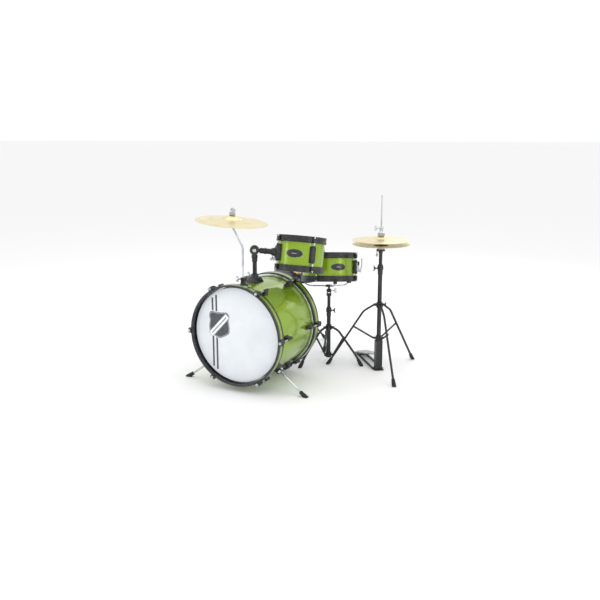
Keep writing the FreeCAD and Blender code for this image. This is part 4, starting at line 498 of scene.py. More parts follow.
def add_node(tree: Tree, kind: str, settings: Optional[dict] = None,
             links: Optional[dict] = None) -> Node:
    """Adds one node with its settings and links.

    Args:
        tree: the node tree.
        kind: the node's type name.
        settings: property or socket to value.
        links: socket to the output that feeds it.

    Returns:
        The node.
    """
    node = tree.nodes.new(kind)
    for key, value in (settings or {}).items():
        if isinstance(key, str) and key in node.bl_rna.properties:
            setattr(node, key, value)
        else:
            node.inputs[key].default_value = value
    for key, source in (links or {}).items():
        tree.links.new(source, node.inputs[key])
    return node


@dataclass(frozen=True)
class Clouds:
    """Two shades mixed by noise: distance between its spots, octaves, and the noise values of both shades."""

    size: float
    dark: str
    light: str
    detail: float = 3.0
    low: float = 0.35
    high: float = 0.65


@dataclass(frozen=True)
class Wear:
    """Rubbed and dull patches: the distance between them and the whole change of the roughness."""

    size: float
    spread: float


@dataclass(frozen=True)
class Skin:
    """Fine relief: distance between its bumps, their depth, how strongly they show, and octaves."""

    size: float
    depth: float
    strength: float
    detail: float = 3.0


@dataclass(frozen=True)
class Finish:
    """What a surface is made of and how it was finished; sizes of patterns are in millimetres."""

    name: str
    colour: str
    roughness: float
    slot: Optional[Slot] = None
    metallic: float = 0.0
    ior: float = 1.5
    coat: float = 0.0
    coat_roughness: float = 0.04
    sheen: float = 0.0
    clouds: Optional[Clouds] = None
    wear: Optional[Wear] = None
    skin: Optional[Skin] = None

    def material(self) -> bpy.types.Material:
        """Blender material of this finish, made once.

        Returns:
            The material.
        """
        made = bpy.data.materials.get(self.name)
        if made is not None:
            return made
        made = bpy.data.materials.new(self.name)
        made.use_nodes = True
        tree = made.node_tree
        tree.nodes.clear()
        shader = add_node(tree, "ShaderNodeBsdfPrincipled", {
            "Base Color": linear(self.colour), "Roughness": self.roughness, "Metallic": self.metallic,
            "IOR": self.ior, "Coat Weight": self.coat, "Coat Roughness": self.coat_roughness,
            "Sheen Weight": self.sheen})
        add_node(tree, "ShaderNodeOutputMaterial", links={"Surface": shader.outputs[0]})
        place = add_node(tree, "ShaderNodeTexCoord")
        self.pattern(tree, shader, place.outputs["Object"])
        return made

    def pattern(self, tree: Tree, shader: Node, place: Socket) -> None:
        """Adds the surface's clouds, wear and skin, where it has them.

        Args:
            tree: the material's node tree.
            shader: its principled shader.
            place: object coordinates in metres.
        """
        if self.clouds is not None:
            noise = self.grain(tree, place, self.clouds.size, self.clouds.detail)
            self.tone(tree, shader, noise, self.clouds.dark, self.clouds.light, self.clouds.low,
                      self.clouds.high)
        if self.wear is not None:
            self.polish(tree, shader, self.grain(tree, place, self.wear.size), self.wear.spread)
        if self.skin is not None:
            noise = self.grain(tree, place, self.skin.size, self.skin.detail)
            self.relief(tree, shader, noise, self.skin.depth, self.skin.strength)

    def grain(self, tree: Tree, place: Socket, size: float,
              detail: float = 3.0) -> Socket:
        """Cloudy noise whose spots are about one size apart.

        Args:
            tree: the material's node tree.
            place: object coordinates in metres.
            size: distance between the spots.
            detail: octaves.

        Returns:
            The noise's value.
        """
        noise = add_node(tree, "ShaderNodeTexNoise", {"Scale": METRE / size, "Detail": detail},
                         {"Vector": place})
        return noise.outputs["Fac"]

    def tone(self, tree: Tree, shader: Node, factor: Socket,
             dark: str, light: str, low: float = 0.35, high: float = 0.65) -> None:
        """Colours the surface between two shades.

        Args:
            tree: the material's node tree.
            shader: its principled shader.
            factor: what chooses the shade.
            dark: shade at the low factor.
            light: shade at the high factor.
            low: factor of the dark shade.
            high: factor of the light shade.
        """
        ramp = add_node(tree, "ShaderNodeValToRGB", links={"Fac": factor})
        ramp.color_ramp.elements[0].position = low
        ramp.color_ramp.elements[0].color = linear(dark)
        ramp.color_ramp.elements[1].position = high
        ramp.color_ramp.elements[1].color = linear(light)
        tree.links.new(ramp.outputs["Color"], shader.inputs["Base Color"])

    def polish(self, tree: Tree, shader: Node, factor: Socket,
               spread: float) -> None:
        """Varies the roughness by a spread round its mean.

        Args:
            tree: the material's node tree.
            shader: its principled shader.
            factor: noise from 0 to 1.
            spread: whole change of the roughness.
        """
        span = add_node(tree, "ShaderNodeMapRange", {
            "From Min": 0.3, "From Max": 0.7, "To Min": self.roughness - spread / 2,
            "To Max": self.roughness + spread / 2}, {"Value": factor})
        tree.links.new(span.outputs[0], shader.inputs["Roughness"])

    def relief(self, tree: Tree, shader: Node, height: Socket,
               depth: float, strength: float = 0.5) -> None:
        """Raises the surface by a height.

        Args:
            tree: the material's node tree.
            shader: its principled shader.
            height: the relief, from 0 to 1.
            depth: depth of the relief.
            strength: how strongly it shows.
        """
        bump = add_node(tree, "ShaderNodeBump", {"Strength": strength, "Distance": depth / METRE},
                        {"Height": height})
        tree.links.new(bump.outputs["Normal"], shader.inputs["Normal"])


@dataclass(frozen=True)
class FlakeLacquer(Finish):
    """Sprayed lacquer over wood with metal flakes under a clear polished coat, which gives deep sharp
    reflections."""

    flake: float = 1.1
    dark: str = "#6f9002"
    light: str = "#98ba10"

    def pattern(self, tree: Tree, shader: Node, place: Socket) -> None:
        """Flakes, drawn coarser than real ones so that they show, over the slow waves of a sprayed coat.

        Args:
            tree: the material's node tree.
            shader: its principled shader.
            place: object coordinates in metres.
        """
        super().pattern(tree, shader, place)
        flakes = add_node(tree, "ShaderNodeTexVoronoi", {"Scale": METRE / self.flake}, {"Vector": place})
        value = add_node(tree, "ShaderNodeSeparateColor", links={0: flakes.outputs["Color"]})
        self.tone(tree, shader, value.outputs[0], self.dark, self.light, 0.0, 1.0)


@dataclass(frozen=True)
class LathedBrass(Finish):
    """Spun cymbal brass, turned on a lathe in fine rings under clear lacquer; the rings spread each
    highlight."""

    centre: tuple[float, float, float] = (0.0, 0.0, 0.0)
    lean: float = 0.0
    ring: float = 2.2
    band: float = 16.0
    cloud: float = 45.0

    def pattern(self, tree: Tree, shader: Node, place: Socket) -> None:
        """Rings about the cymbal's axis: noise of the distance from it, with uneven tone from ring to ring.

        Args:
            tree: the material's node tree.
            shader: its principled shader.
            place: object coordinates in metres.
        """
        base = add_node(tree, "ShaderNodeMapping", {
            "vector_type": "TEXTURE", "Location": [value / METRE for value in self.centre],
            "Rotation": (0.0, math.radians(self.lean), 0.0)}, {"Vector": place})
        split = add_node(tree, "ShaderNodeSeparateXYZ", links={0: base.outputs[0]})
        flat = add_node(tree, "ShaderNodeCombineXYZ", links={0: split.outputs[0], 1: split.outputs[1]})
        reach = add_node(tree, "ShaderNodeVectorMath", {"operation": "LENGTH"}, {0: flat.outputs[0]})
        groove, band = (add_node(tree, "ShaderNodeTexNoise",
                                 {"noise_dimensions": "1D", "Scale": METRE / size, "Detail": detail,
                                  "Roughness": roughness}, {"W": reach.outputs["Value"]}) for size, detail,
                        roughness in ((self.ring, 3.0, 0.7), (self.band, 4.0, 0.5)))
        cloud = self.grain(tree, place, self.cloud)
        blend = add_node(tree, "ShaderNodeMath", {"operation": "ADD"}, {0: band.outputs["Fac"], 1: cloud})
        half = add_node(tree, "ShaderNodeMath", {"operation": "MULTIPLY", 1: 0.5}, {0: blend.outputs[0]})
        self.tone(tree, shader, half.outputs[0], "#d6caa0", self.colour, 0.38, 0.62)
        self.polish(tree, shader, groove.outputs["Fac"], 0.14)
        self.relief(tree, shader, groove.outputs["Fac"], 0.12, 0.35)


@dataclass(frozen=True)
class GrainedVinyl(Finish):
    """Expanded vinyl on cloth, embossed with a leather grain, with a soft greasy sheen."""

    pebble: float = 2.4

    def pattern(self, tree: Tree, shader: Node, place: Socket) -> None:
        """Pebbles with creases between them, over the wear that polishes the high places.

        Args:
            tree: the material's node tree.
            shader: its principled shader.
            place: object coordinates in metres.
        """
        super().pattern(tree, shader, place)
        cells = add_node(tree, "ShaderNodeTexVoronoi", {
            "feature": "SMOOTH_F1", "Scale": METRE / self.pebble, "Smoothness": 0.6}, {"Vector": place})
        self.relief(tree, shader, cells.outputs["Distance"], -0.25, 0.45)


@dataclass(frozen=True)
class TurnedHickory(Finish):
    """Turned hickory under thin clear lacquer; its grain runs along the stick."""

    azimuth: float = 0.0
    stretch: float = 12.0

    def pattern(self, tree: Tree, shader: Node, place: Socket) -> None:
        """Grain lines and short dark pores, drawn out along the stick.

        Args:
            tree: the material's node tree.
            shader: its principled shader.
            place: object coordinates in metres.
        """
        base = add_node(tree, "ShaderNodeMapping", {
            "vector_type": "TEXTURE", "Rotation": (0.0, 0.0, math.radians(self.azimuth)),
            "Scale": (self.stretch, 1.0, 1.0)}, {"Vector": place})
        super().pattern(tree, shader, base.outputs[0])


# Maple ply sprayed with flake lacquer and polished: deep sharp reflections over a fine sparkle.
GREEN = FlakeLacquer("green_flake_lacquer", "#82a505", 0.3, Slot.GREEN_LACQUER, 0.5, coat=0.75,
                     coat_roughness=0.03,
                     skin=Skin(28.0, 0.05, 0.12, 1.0))
# Black lacquer on the wooden hoops: smooth, with a soft clear gloss.
MOULD_WEAR, MOULD_SKIN = Wear(9.0, 0.12), Skin(0.9, 0.06, 0.3, 2.0)
HOOP_BLACK = Finish("black_hoop_lacquer", "#0d0e11", 0.3, Slot.BLACK_LACQUER, coat=0.25, coat_roughness=0.12,
                    clouds=Clouds(22.0, "#0d0e11", "#2b2c31"), wear=MOULD_WEAR, skin=MOULD_SKIN)
# Polyester film sprayed with a white coating: milky, dry and finely sandy, with a cloudy thickness.
FILM = Finish("coated_polyester_film", "#dde2e6", 0.42, Slot.HEAD_FILM, coat=0.15, coat_roughness=0.3,
              clouds=Clouds(90.0, "#dde3e8", "#e9edf1", 4.0, 0.3, 0.7), skin=Skin(0.9, 0.05, 0.25, 2.0))
# Injection-moulded ABS from a spark-eroded mould: a fine satin grain with slow handling marks.
ABS = Finish("moulded_black_abs", "#0d0d10", 0.34, Slot.BLACK_PLASTIC, coat=0.1, coat_roughness=0.2,
             clouds=Clouds(22.0, "#0d0d10", "#2b2c31"), wear=MOULD_WEAR, skin=MOULD_SKIN)
# Powder-coated steel: slight orange peel, rubbed where tubes slide and hands grip.
STEEL = Finish("powder_coated_steel", "#0b0b0d", 0.4, Slot.BLACK_STEEL, coat=0.1, coat_roughness=0.25,
               clouds=Clouds(30.0, "#0b0b0d", "#26272b"), wear=Wear(14.0, 0.16),
               skin=Skin(1.8, 0.08, 0.35, 1.0))
# Polished chrome plate: bright, with faint finger smudges that dull it and warm or cool its tone.
CHROME = Finish("polished_chrome_plate", "#d5d8dc", 0.1, Slot.CHROME, 1.0,
                clouds=Clouds(35.0, "#b7babf", "#d5d8dc", 2.0), wear=Wear(11.0, 0.08))
# Die-cast aluminium, tumbled: a matt, slightly mottled casting skin.
CAST = Finish("cast_aluminium", "#b9bcc0", 0.42, Slot.BLACK_STEEL, 0.85,
              clouds=Clouds(18.0, "#9c9fa3", "#b9bcc0"), wear=Wear(6.0, 0.2), skin=Skin(1.4, 0.06, 0.3, 2.0))
# Vinyl for the seat and its piping: leather grain, polished where it is sat on.
VINYL_WEAR = Wear(25.0, 0.14)
VINYL = GrainedVinyl("grained_black_vinyl", "#131317", 0.46, Slot.BLACK_VINYL, sheen=0.1,
                     clouds=Clouds(40.0, "#131317", "#3a3a41"), wear=VINYL_WEAR)
PIPING = GrainedVinyl("vinyl_piping", "#0f0f12", 0.4, Slot.BLACK_VINYL, pebble=1.6,
                      clouds=Clouds(40.0, "#0f0f12", "#3a3a41"), wear=VINYL_WEAR)
# Waxed thread and pressed wool felt: tangled fibres, matt and fluffy.
FIBRES = Skin(1.3, 0.5, 0.8, 6.0)
THREAD = Finish("waxed_thread", "#4a494d", 0.8, clouds=Clouds(2.2, "#9d9990", "#4a494d", 6.0), skin=FIBRES)
FELT = Finish("pressed_wool_felt", "#bcb8ae", 0.95, sheen=0.3, clouds=Clouds(2.2, "#9d9990", "#bcb8ae", 6.0),
              skin=FIBRES)
# Moulded rubber: dull, with dust in its grain.
RUBBER = Finish("moulded_black_rubber", "#0d0d0f", 0.65, Slot.BLACK_PLASTIC,
                clouds=Clouds(6.0, "#0d0d0f", "#232325", 5.0), skin=Skin(1.2, 0.12, 0.4))
# Screen-printed ink: flat and a little uneven, with the film's sandy skin showing through.
INK_DARK, INK_GREY, INK_WHITE = (
    Finish(f"{name}_screen_ink", dark, 0.5, clouds=Clouds(7.0, dark, light, 4.0, 0.3, 0.7),
           skin=Skin(0.9, 0.05, 0.2, 2.0))
    for name, dark, light in (("charcoal", "#3b3f45", "#555a60"), ("grey", "#7b8087", "#9a9fa5"),
                              ("white", "#f1f3f5", "#fafbfc")))
# Matt white paper with a faint tooth.
PAPER = Finish("studio_paper", "#f4f4f5", 0.9, skin=Skin(4.0, 0.05, 0.1))


# ================================================================ pieces
def make_piece(name: str, form: Form, finish: Finish, body: str,
               stands_for: Sequence[str] = ()) -> bpy.types.Object:
    """Makes a form into a Blender object in metres, dresses it and sets it on its body.

    Args:
        name: the piece's name.
        finish: its finish.
        body: the body that it rides on.
        stands_for: CAD nodes that it takes the place of.

    Returns:
        The object.
    """
    mesh = bpy.data.meshes.new(name)
    mesh.from_pydata((form.points / METRE).tolist(), [], form.quads.tolist() + form.tris.tolist())
    mesh.polygons.foreach_set("use_smooth", np.ones(len(mesh.polygons), bool))
    mesh.set_sharp_from_angle(angle=SHARP_EDGE)
    mesh.materials.append(finish.material())
    piece = bpy.data.objects.new(name, mesh)
    bpy.context.scene.collection.objects.link(piece)
    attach(piece, body)
    if stands_for:
        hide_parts(*stands_for)
    LOG.info("%s on %s: %d faces", name, body, len(mesh.polygons))
    return piece


def dress_node(node: str, finish: Finish) -> None:
    """Gives a CAD node that stays its finish.

    Args:
        node: name of the CAD node.
        finish: its finish.
    """
    for place in frame["nodes"][node].material_slots:
        place.material = finish.material()
    LOG.info("%s keeps its shape, finished in %s", node, finish.name)


# ================================================================ bass drum
@dataclass
class BassDrum:
    """Bass drum on its side; while it is built its axis is +Z, and its front hoop's front edge is at height
    0."""

    body: str = "kit"
    stations: int = 6
    shell_wall: float = 6.0
    film_thickness: float = 1.0
    hoop_wall: float = 8.0
    inlay_low: float = 12.0
    inlay_high: float = 28.0
    inlay_depth: float = 0.7
    flesh_low: float = 40.4
    flesh_high: float = 48.2
    lug_low: float = 67.0
    lug_length: float = 34.0
    lug_width: float = 17.0
    rod_over_hoop: float = 5.5
    rod_radius: float = 3.0
    claw_length: float = 30.0
    claw_lip: float = 4.0
    claw_width: float = 20.0
    ink: float = 0.25
    crest_x: float = -85.0
    crest_up: float = 35.0
    stripe_width: float = 8.5

    def __post_init__(self) -> None:
        """Reads the drum's own sizes and place from the frame."""
        hoop_low, hoop_high = node_corners("bass_hoop_front")
        self.centre = (hoop_low + hoop_high) / 2
        self.front = hoop_low[1]
        self.hoop_radius = (hoop_high[0] - hoop_low[0]) / 2
        self.hoop_depth = hoop_high[1] - hoop_low[1]
        self.total = node_corners("bass_hoop_rear")[1][1] - self.front
        shell_low, shell_high = node_corners("bass_shell")
        self.shell_radius = (shell_high[0] - shell_low[0]) / 2
        self.recess = node_corners("bass_head_front")[0][1] - self.front
        self.rod_circle = self.hoop_radius + self.rod_over_hoop

    def laid(self, form: Form) -> Form:
        """Form with its axis on +Z, laid along the drum's axis."""
        return form.placed(turn_about("X", -90), (self.centre[0], self.front, self.centre[2]))

    def ends(self, form: Form) -> Form:
        """A front-end form and its mirror image at the rear end, laid along the drum."""
        return self.laid(both_ends(form, self.total / 2))

    def build(self) -> None:
        """Builds and dresses every piece of the drum."""
        self.make_shell()
        self.make_hoops()
        self.make_heads()
        self.make_print()
        self.make_tensioners()

    def make_shell(self) -> None:
        """Shell: a ring as long as the drum less the two films."""
        start = self.recess + self.film_thickness
        shell = collar_ring(self.shell_radius - self.shell_wall, self.shell_radius, start, self.total - start,
                            1.2, 192)
        make_piece("bass_shell_lacquered", self.laid(shell), GREEN, self.body, ["bass_shell"])

    def make_hoops(self) -> None:
        """Wooden hoops: a rectangular section with a shallow groove that holds the coloured inlay."""
        outer, inner = self.hoop_radius, self.hoop_radius - self.hoop_wall
        floor = outer - self.inlay_depth
        section = [(inner, 0), (outer, 0), (outer, self.inlay_low), (floor, self.inlay_low),
                   (floor, self.inlay_high), (outer, self.inlay_high), (outer, self.hoop_depth),
                   (inner, self.hoop_depth)]
        hoop = lathe(soften(section, 1.4, loop=True, steps=4), 192, loop=True)
        inlay = collar_ring(floor - 1.0, outer - 0.1, self.inlay_low + 0.2, self.inlay_high - 0.2, 0.3, 192)
        for end, height in (("front", None), ("rear", self.total / 2)):
            parts = [part if height is None else part.mirrored(height) for part in (hoop, inlay)]
            make_piece(f"bass_hoop_{end}_wood", self.laid(parts[0]), HOOP_BLACK, self.body,
                       [f"bass_hoop_{end}"])
            make_piece(f"bass_hoop_{end}_inlay", self.laid(parts[1]), GREEN, self.body)

    def make_heads(self) -> None:
        """Heads: a flat film that turns down over the shell's edge, and its metal flesh hoop."""
        skirt = self.shell_radius + 1.4
        inside = self.shell_radius + 0.4
        film = [(0, self.recess), (skirt, self.recess), (skirt, self.flesh_high - 2),
                (inside, self.flesh_high - 2),
                (inside, self.recess + self.film_thickness), (0, self.recess + self.film_thickness)]
        head = lathe(soften(film, 2.6, steps=5), 192)
        flesh = collar_ring(inside, self.hoop_radius - self.hoop_wall + 3.0, self.flesh_low, self.flesh_high,
                            1.4, 192)
        for end, height in (("front", None), ("rear", self.total / 2)):
            parts = [part if height is None else part.mirrored(height) for part in (head, flesh)]
            make_piece(f"bass_head_{end}_film", self.laid(parts[0]), FILM, self.body, [f"bass_head_{end}"])
            make_piece(f"bass_head_{end}_flesh_hoop", self.laid(parts[1]), CHROME, self.body)

    def printed(self, outline: Array, layer: int) -> Form:
        """Thin layer of ink on the front head.

        Args:
            outline: (across, up) points from the head's middle.
            layer: how many layers lie under it.

        Returns:
            The layer, laid on the film.
        """
        flat = np.asarray(outline, float) * np.array([1, -1])
        top = self.recess - 0.05 - layer * self.ink
        return self.laid(plate(flat, top - self.ink, top))

    def make_print(self) -> None:
        """Two stripes, and a plain crest with a diagonal banner that carries no lettering."""
        stripes = []
        for across, low, high in ((-117.0, -150.0, 152.0), (-98.0, -162.0, 165.0)):
            half = self.stripe_width / 2
            stripes.append(np.array([(across - half, low), (across + half, low), (across + half, high),
                                     (across - half, high)]))
        lines = join(self.printed(outline, 0) for outline in stripes)
        make_piece("bass_head_stripes", lines, INK_DARK, self.body)
        shield = np.array([(0, -60), (30, -46), (50, -34), (53, -8), (47, 18), (52, 44), (42, 60), (20, 57),
                           (0, 56), (-20, 57), (-42, 60), (-52, 44), (-47, 18), (-53, -8), (-50, -34),
                           (-30, -46)], float)
        middle = np.array([self.crest_x, self.crest_up])
        for layer, (name, share, ink) in enumerate((("outline", 1.04, INK_WHITE), ("border", 1.0, INK_GREY),
                                                    ("field", 0.87, INK_DARK)), 1):
            outline = soften(shield * share, 9.0, loop=True) + middle
            make_piece(f"bass_head_crest_{name}", self.printed(outline, layer), ink, self.body)
        for layer, (name, length, width, ink) in enumerate((("banner_edge", 124.0, 28.0, INK_GREY),
                                                            ("banner", 120.0, 23.0, INK_WHITE),
                                                            ("banner_line", 104.0, 5.0, INK_GREY)), 4):
            outline = rounded_outline(np.array([length / 2]), np.array([width / 2]), np.array([2.0]))[0]
            slope = turn_about("Z", 46.0)[:2, :2]
            make_piece(f"bass_head_{name}", self.printed(outline @ slope.T + middle, layer), ink, self.body)

    def lug(self) -> Form:
        """Lug at azimuth 0: a flange on the shell, a domed block and the barrel that takes the rod.

        Returns:
            The lug.
        """
        low, length, width = self.lug_low, self.lug_length, self.lug_width
        middle = low + length / 2
        upright = turn_about("Y", 90)
        flange = block((length, width + 3, 5), 4.0, 1.6).placed(upright, (self.shell_radius + 1.6, 0, middle))
        height = self.rod_circle - self.shell_radius + 6
        dome = block((length - 3, width - 1, height), 5.0, 4.0, (4.0, 2.2), 6)
        dome = dome.placed(upright, (self.shell_radius + height / 2 - 0.5, 0, middle))
        barrel = turned_bar([(6.6, low - 2.5), (7.2, low + 1), (7.2, low + length - 7),
                             (4.5, low + length - 2)], 1.6)
        return join([flange, dome, barrel.shifted(self.rod_circle - 1)])

    def claw(self) -> Form:
        """Claw at azimuth 0: a hook-shaped outline in the radial plane, and a boss for the rod.

        Returns:
            The claw.
        """
        lip, outer = self.hoop_radius - 5.5, self.rod_circle + 8.0
        over = self.hoop_radius + 0.25
        outline = [(lip, -self.claw_lip), (outer - 3, -self.claw_lip), (outer, 3), (outer - 2, 20),
                   (self.rod_circle + 3, self.claw_length), (over, self.claw_length), (over, -0.2),
                   (lip, -0.2)]
        hook = soften(outline, 1.2, loop=True, steps=4)
        half = self.claw_width / 2
        side = plate(hook, -half, half, (over + 3, -2.0))
        boss = turned_bar([(6.8, -self.claw_lip - 0.5), (7.4, 4), (7.0, self.claw_length - 3)], 1.2)
        return join([side.placed(UPRIGHT), boss.shifted(self.rod_circle)])

    def key_rod(self) -> Form:
        """Tension rod at azimuth 0: shank, round flange and square key head.

        Returns:
            The rod.
        """
        low = -self.claw_lip
        end = self.lug_low + self.lug_length * 0.7
        shank = turned_bar([(self.rod_radius, low - 2), (self.rod_radius, end)], 0.4, 20)
        flange = turned_bar([(6.0, low - 2), (6.0, low + 0.2)], 0.6, 28)
        key = block((6.2, 6.2, 6.0), 0.9, 0.7).shifted(z=low - 5)
        return join([shank, flange, key]).shifted(self.rod_circle)

    def make_tensioners(self) -> None:
        """Lugs, claws and key rods at every station of both ends."""
        for name, form, finish, node in (("bass_lug_castings", self.lug(), ABS, "bass_lugs"),
                                         ("bass_claw_hooks", self.claw(), ABS, "bass_claws"),
                                         ("bass_key_rods", self.key_rod(), CHROME, "bass_tension_rods")):
            make_piece(name, self.ends(ring_of(form, self.stations)), finish, self.body, [node])


@dataclass
class Spur:
    """Folding leg of the bass drum: bright rod, hub and rubber foot."""

    side: str
    spread: float = 298.0
    foot_behind_hoop: float = 79.0
    rod_radius: float = 4.5
    hub_radius: float = 9.1
    hub_half: float = 8.5
    pin_half: float = 16.0
    foot_length: float = 34.0

    def build(self) -> None:
        """Builds the rod with its hub and pin, and the foot whose sole is cut level with the floor."""
        body = f"spur_{self.side}"
        pivot, axis = joint_place(f"{body}_fold"), joint_axis(f"{body}_fold")
        drum = node_centre("bass_shell")
        sign = 1 if self.side == "right" else -1
        foot = np.array([drum[0] + sign * self.spread,
                         node_corners("bass_hoop_front")[0][1] + self.foot_behind_hoop, 0.0])
        down = unit(foot - pivot)
        hub = bar(pivot - axis * self.hub_half, pivot + axis * self.hub_half, self.hub_radius, 1.0, 32)
        pin = bar(pivot - axis * self.pin_half, pivot + axis * self.pin_half, 3.9)
        heads = [bar(pivot + axis * sign_of * (self.pin_half - 3.4), pivot + axis * sign_of * self.pin_half,
                     6.0, 0.8)
                 for sign_of in (-1, 1)]
        rod = bar(pivot, foot - down * 12, self.rod_radius)
        make_piece(f"{body}_rod", join([hub, pin, rod, *heads]), CHROME, body, [body])
        length = self.foot_length
        profile = [(5.6, 0), (8.0, 2), (8.4, 8), (7.4, 10), (8.8, 13), (9.6, 22), (10.2, 30),
                   (10.6, length + 8)]
        boot = turned_bar(profile, 1.4).placed(aim(down), foot - down * length)
        make_piece(f"{body}_foot", boot.standing(), RUBBER, body, [body])


# ================================================================ tom, snare and their parts
@dataclass
class SmallDrum:
    """Drum with an upright axis, built round its centre: shell, heads, rims, lugs with key rods, and a
    badge."""

    name: str
    body: str
    rotation: Array
    rim_radius: float
    lug_height: float
    lug_width: float
    lug_first: float
    badge_azimuth: float
    badge_width: float
    badge_height: float
    shell_radius: float
    length: float
    wall: float = 5.0
    lugs: int = 4
    rim_height: float = 27.0
    rim_above_head: float = 9.0
    film: float = 0.8
    circle_over_shell: float = 11.4
    ear_width: float = 15.0
    rod_radius: float = 2.6

    def set_in_place(self, form: Form) -> Form:
        return form.placed(self.rotation, node_centre(f"{self.name}_shell"))

    def build(self) -> None:
        """Builds and dresses every piece of the drum."""
        shell = collar_ring(self.shell_radius - self.wall, self.shell_radius, -self.length / 2,
                            self.length / 2, 0.8, 160)
        for part, form, finish, node in (
                ("shell_lacquered", shell, GREEN, "shell"),
                ("head_films", both_ends(self.head()), FILM, "heads"),
                ("rims", both_ends(self.rim()), ABS, "hoops"),
                ("lug_castings", ring_of(self.lug(), self.lugs, self.lug_first), ABS, "lugs"),
                ("key_rods", ring_of(both_ends(self.key_rod()), self.lugs, self.lug_first), CHROME, "lugs")):
            make_piece(f"{self.name}_{part}", self.set_in_place(form), finish, self.body,
                       [f"{self.name}_{node}"])
        self.make_badge()

    def head(self) -> Form:
        """Film over the upper bearing edge, turned down into its flesh hoop.

        Returns:
            The film.
        """
        edge = self.length / 2
        inner, skirt, flesh = self.shell_radius + 0.3, self.shell_radius + 0.9, self.shell_radius + 3.9
        profile = [(0, edge), (inner, edge), (inner, edge - 9), (flesh, edge - 9), (flesh, edge - 4),
                   (skirt, edge - 4), (skirt, edge + self.film), (0, edge + self.film)]
        return lathe(soften(profile, 0.5, steps=3), 160)

    def rim(self) -> Form:
        """Moulded upper rim: a tall flange with a rolled top, a step at its foot, and an ear at each lug.

        Returns:
            The rim.
        """
        edge = self.length / 2
        top = edge + self.rim_above_head
        bottom = top - self.rim_height
        inner, skirt, outer = self.shell_radius + 1.2, self.shell_radius + 4.3, self.rim_radius
        section = [(inner, edge - 4), (skirt, edge - 4), (skirt, bottom), (outer, bottom),
                   (outer, bottom + 7), (outer - 1.2, bottom + 9), (outer - 1.2, top - 5), (outer, top - 3.5),
                   (outer, top), (inner, top)]
        band = lathe(soften(section, 1.1, loop=True, steps=4), 160, loop=True)
        height = self.rim_height - 8
        ear = block((11.0, self.ear_width, height), 3.0, 1.4).shifted(outer + 3.4, 0, bottom + height / 2)
        return join([band, ring_of(ear, self.lugs, self.lug_first)])

    def lug(self) -> Form:
        """Long lug at azimuth 0: a thin flange, a raised block and two barrels for the rods.

        Returns:
            The lug.
        """
        upright = turn_about("Y", 90)
        circle = self.shell_radius + self.circle_over_shell
        flange = block((self.lug_height, self.lug_width, 4.0), 4.5, 1.4)
        flange = flange.placed(upright, (self.shell_radius + 1.0, 0, 0))
        body = block((self.lug_height - 4, self.lug_width - 5, 13.4), 4.5, 3.4, (1.5, 2.0), 6)
        body = body.placed(upright, (self.shell_radius + 7.6, 0, 0))
        end = self.lug_height / 2
        barrel = turned_bar([(5.4, end - 12), (5.4, end - 1), (4.2, end + 1.2)], 0.8, 24).shifted(circle)
        return join([flange, body, both_ends(barrel)])

    def key_rod(self) -> Form:
        """Upper key rod at azimuth 0: shank from the lug, washer on the rim's ear and square key head.

        Returns:
            The rod.
        """
        seat = self.length / 2 + self.rim_above_head - 8
        shank = turned_bar([(self.rod_radius, self.lug_height / 2 - 8), (self.rod_radius, seat + 1)], 0.3, 16)
        washer = turned_bar([(4.2, seat), (4.2, seat + 1.6)], 0.4, 24)
        key = block((5.2, 5.2, 4.4), 0.8, 0.5).shifted(z=seat + 3.8)
        return join([shank, washer, key]).shifted(self.shell_radius + self.circle_over_shell)

    def oval(self, inner: float, outer: float, low: float, high: float) -> Form:
        """Oval ring or plate that follows the shell.

        A point at share s of the oval and angle a has arc length s half-width cos a and height s half-height
        sin a,
        and its thickness rises and falls as a half sine between the two shares.

        Args:
            inner: share of the oval where it starts.
            outer: share where it ends.
            low: depth under the shell's face.
            high: greatest height over it.

        Returns:
            The closed form at the badge's azimuth.
        """
        share = np.linspace(inner, outer, 9)
        rise = high * np.maximum(np.sin(np.linspace(0.12, math.pi - 0.12, 9)), 0.0)
        if inner < 0.05:
            rise = high * np.sqrt(np.maximum(1 - (share / outer) ** 2 * 0.75, 0.0))
        share = np.concatenate([share, share[::-1]])[:, None]
        rise = np.concatenate([rise, np.full(9, -low)])[:, None]
        angle = np.arange(72) * 2 * math.pi / 72
        arc = share * self.badge_width / 2 * np.cos(angle) / self.shell_radius
        radius = self.shell_radius + rise + 0 * angle
        points = np.stack([radius * np.cos(arc), radius * np.sin(arc),
                           share * self.badge_height / 2 * np.sin(angle)],
                          axis=-1)
        return Form.grid(points, loop=True).turned("Z", self.badge_azimuth)

    def make_badge(self) -> None:
        """Oval badge without lettering: thin bright rim, black field and a small plain silver bar."""
        lozenge = block((self.badge_width * 0.3, 2.6, 0.8), 1.2, 0.3).placed(
            np.stack([(0, 1, 0), (0, 0, 1), (1, 0, 0)], axis=1), (self.shell_radius + 1.5, 0, 0))
        for part, form, finish in (("badge_rim", self.oval(0.94, 1.0, 0.5, 1.9), CAST),
                                   ("badge_field", self.oval(0.02, 0.96, 0.5, 1.5), HOOP_BLACK),
                                   ("badge_lozenge", lozenge.turned("Z", self.badge_azimuth), CAST)):
            make_piece(f"{self.name}_{part}", self.set_in_place(form), finish, self.body)


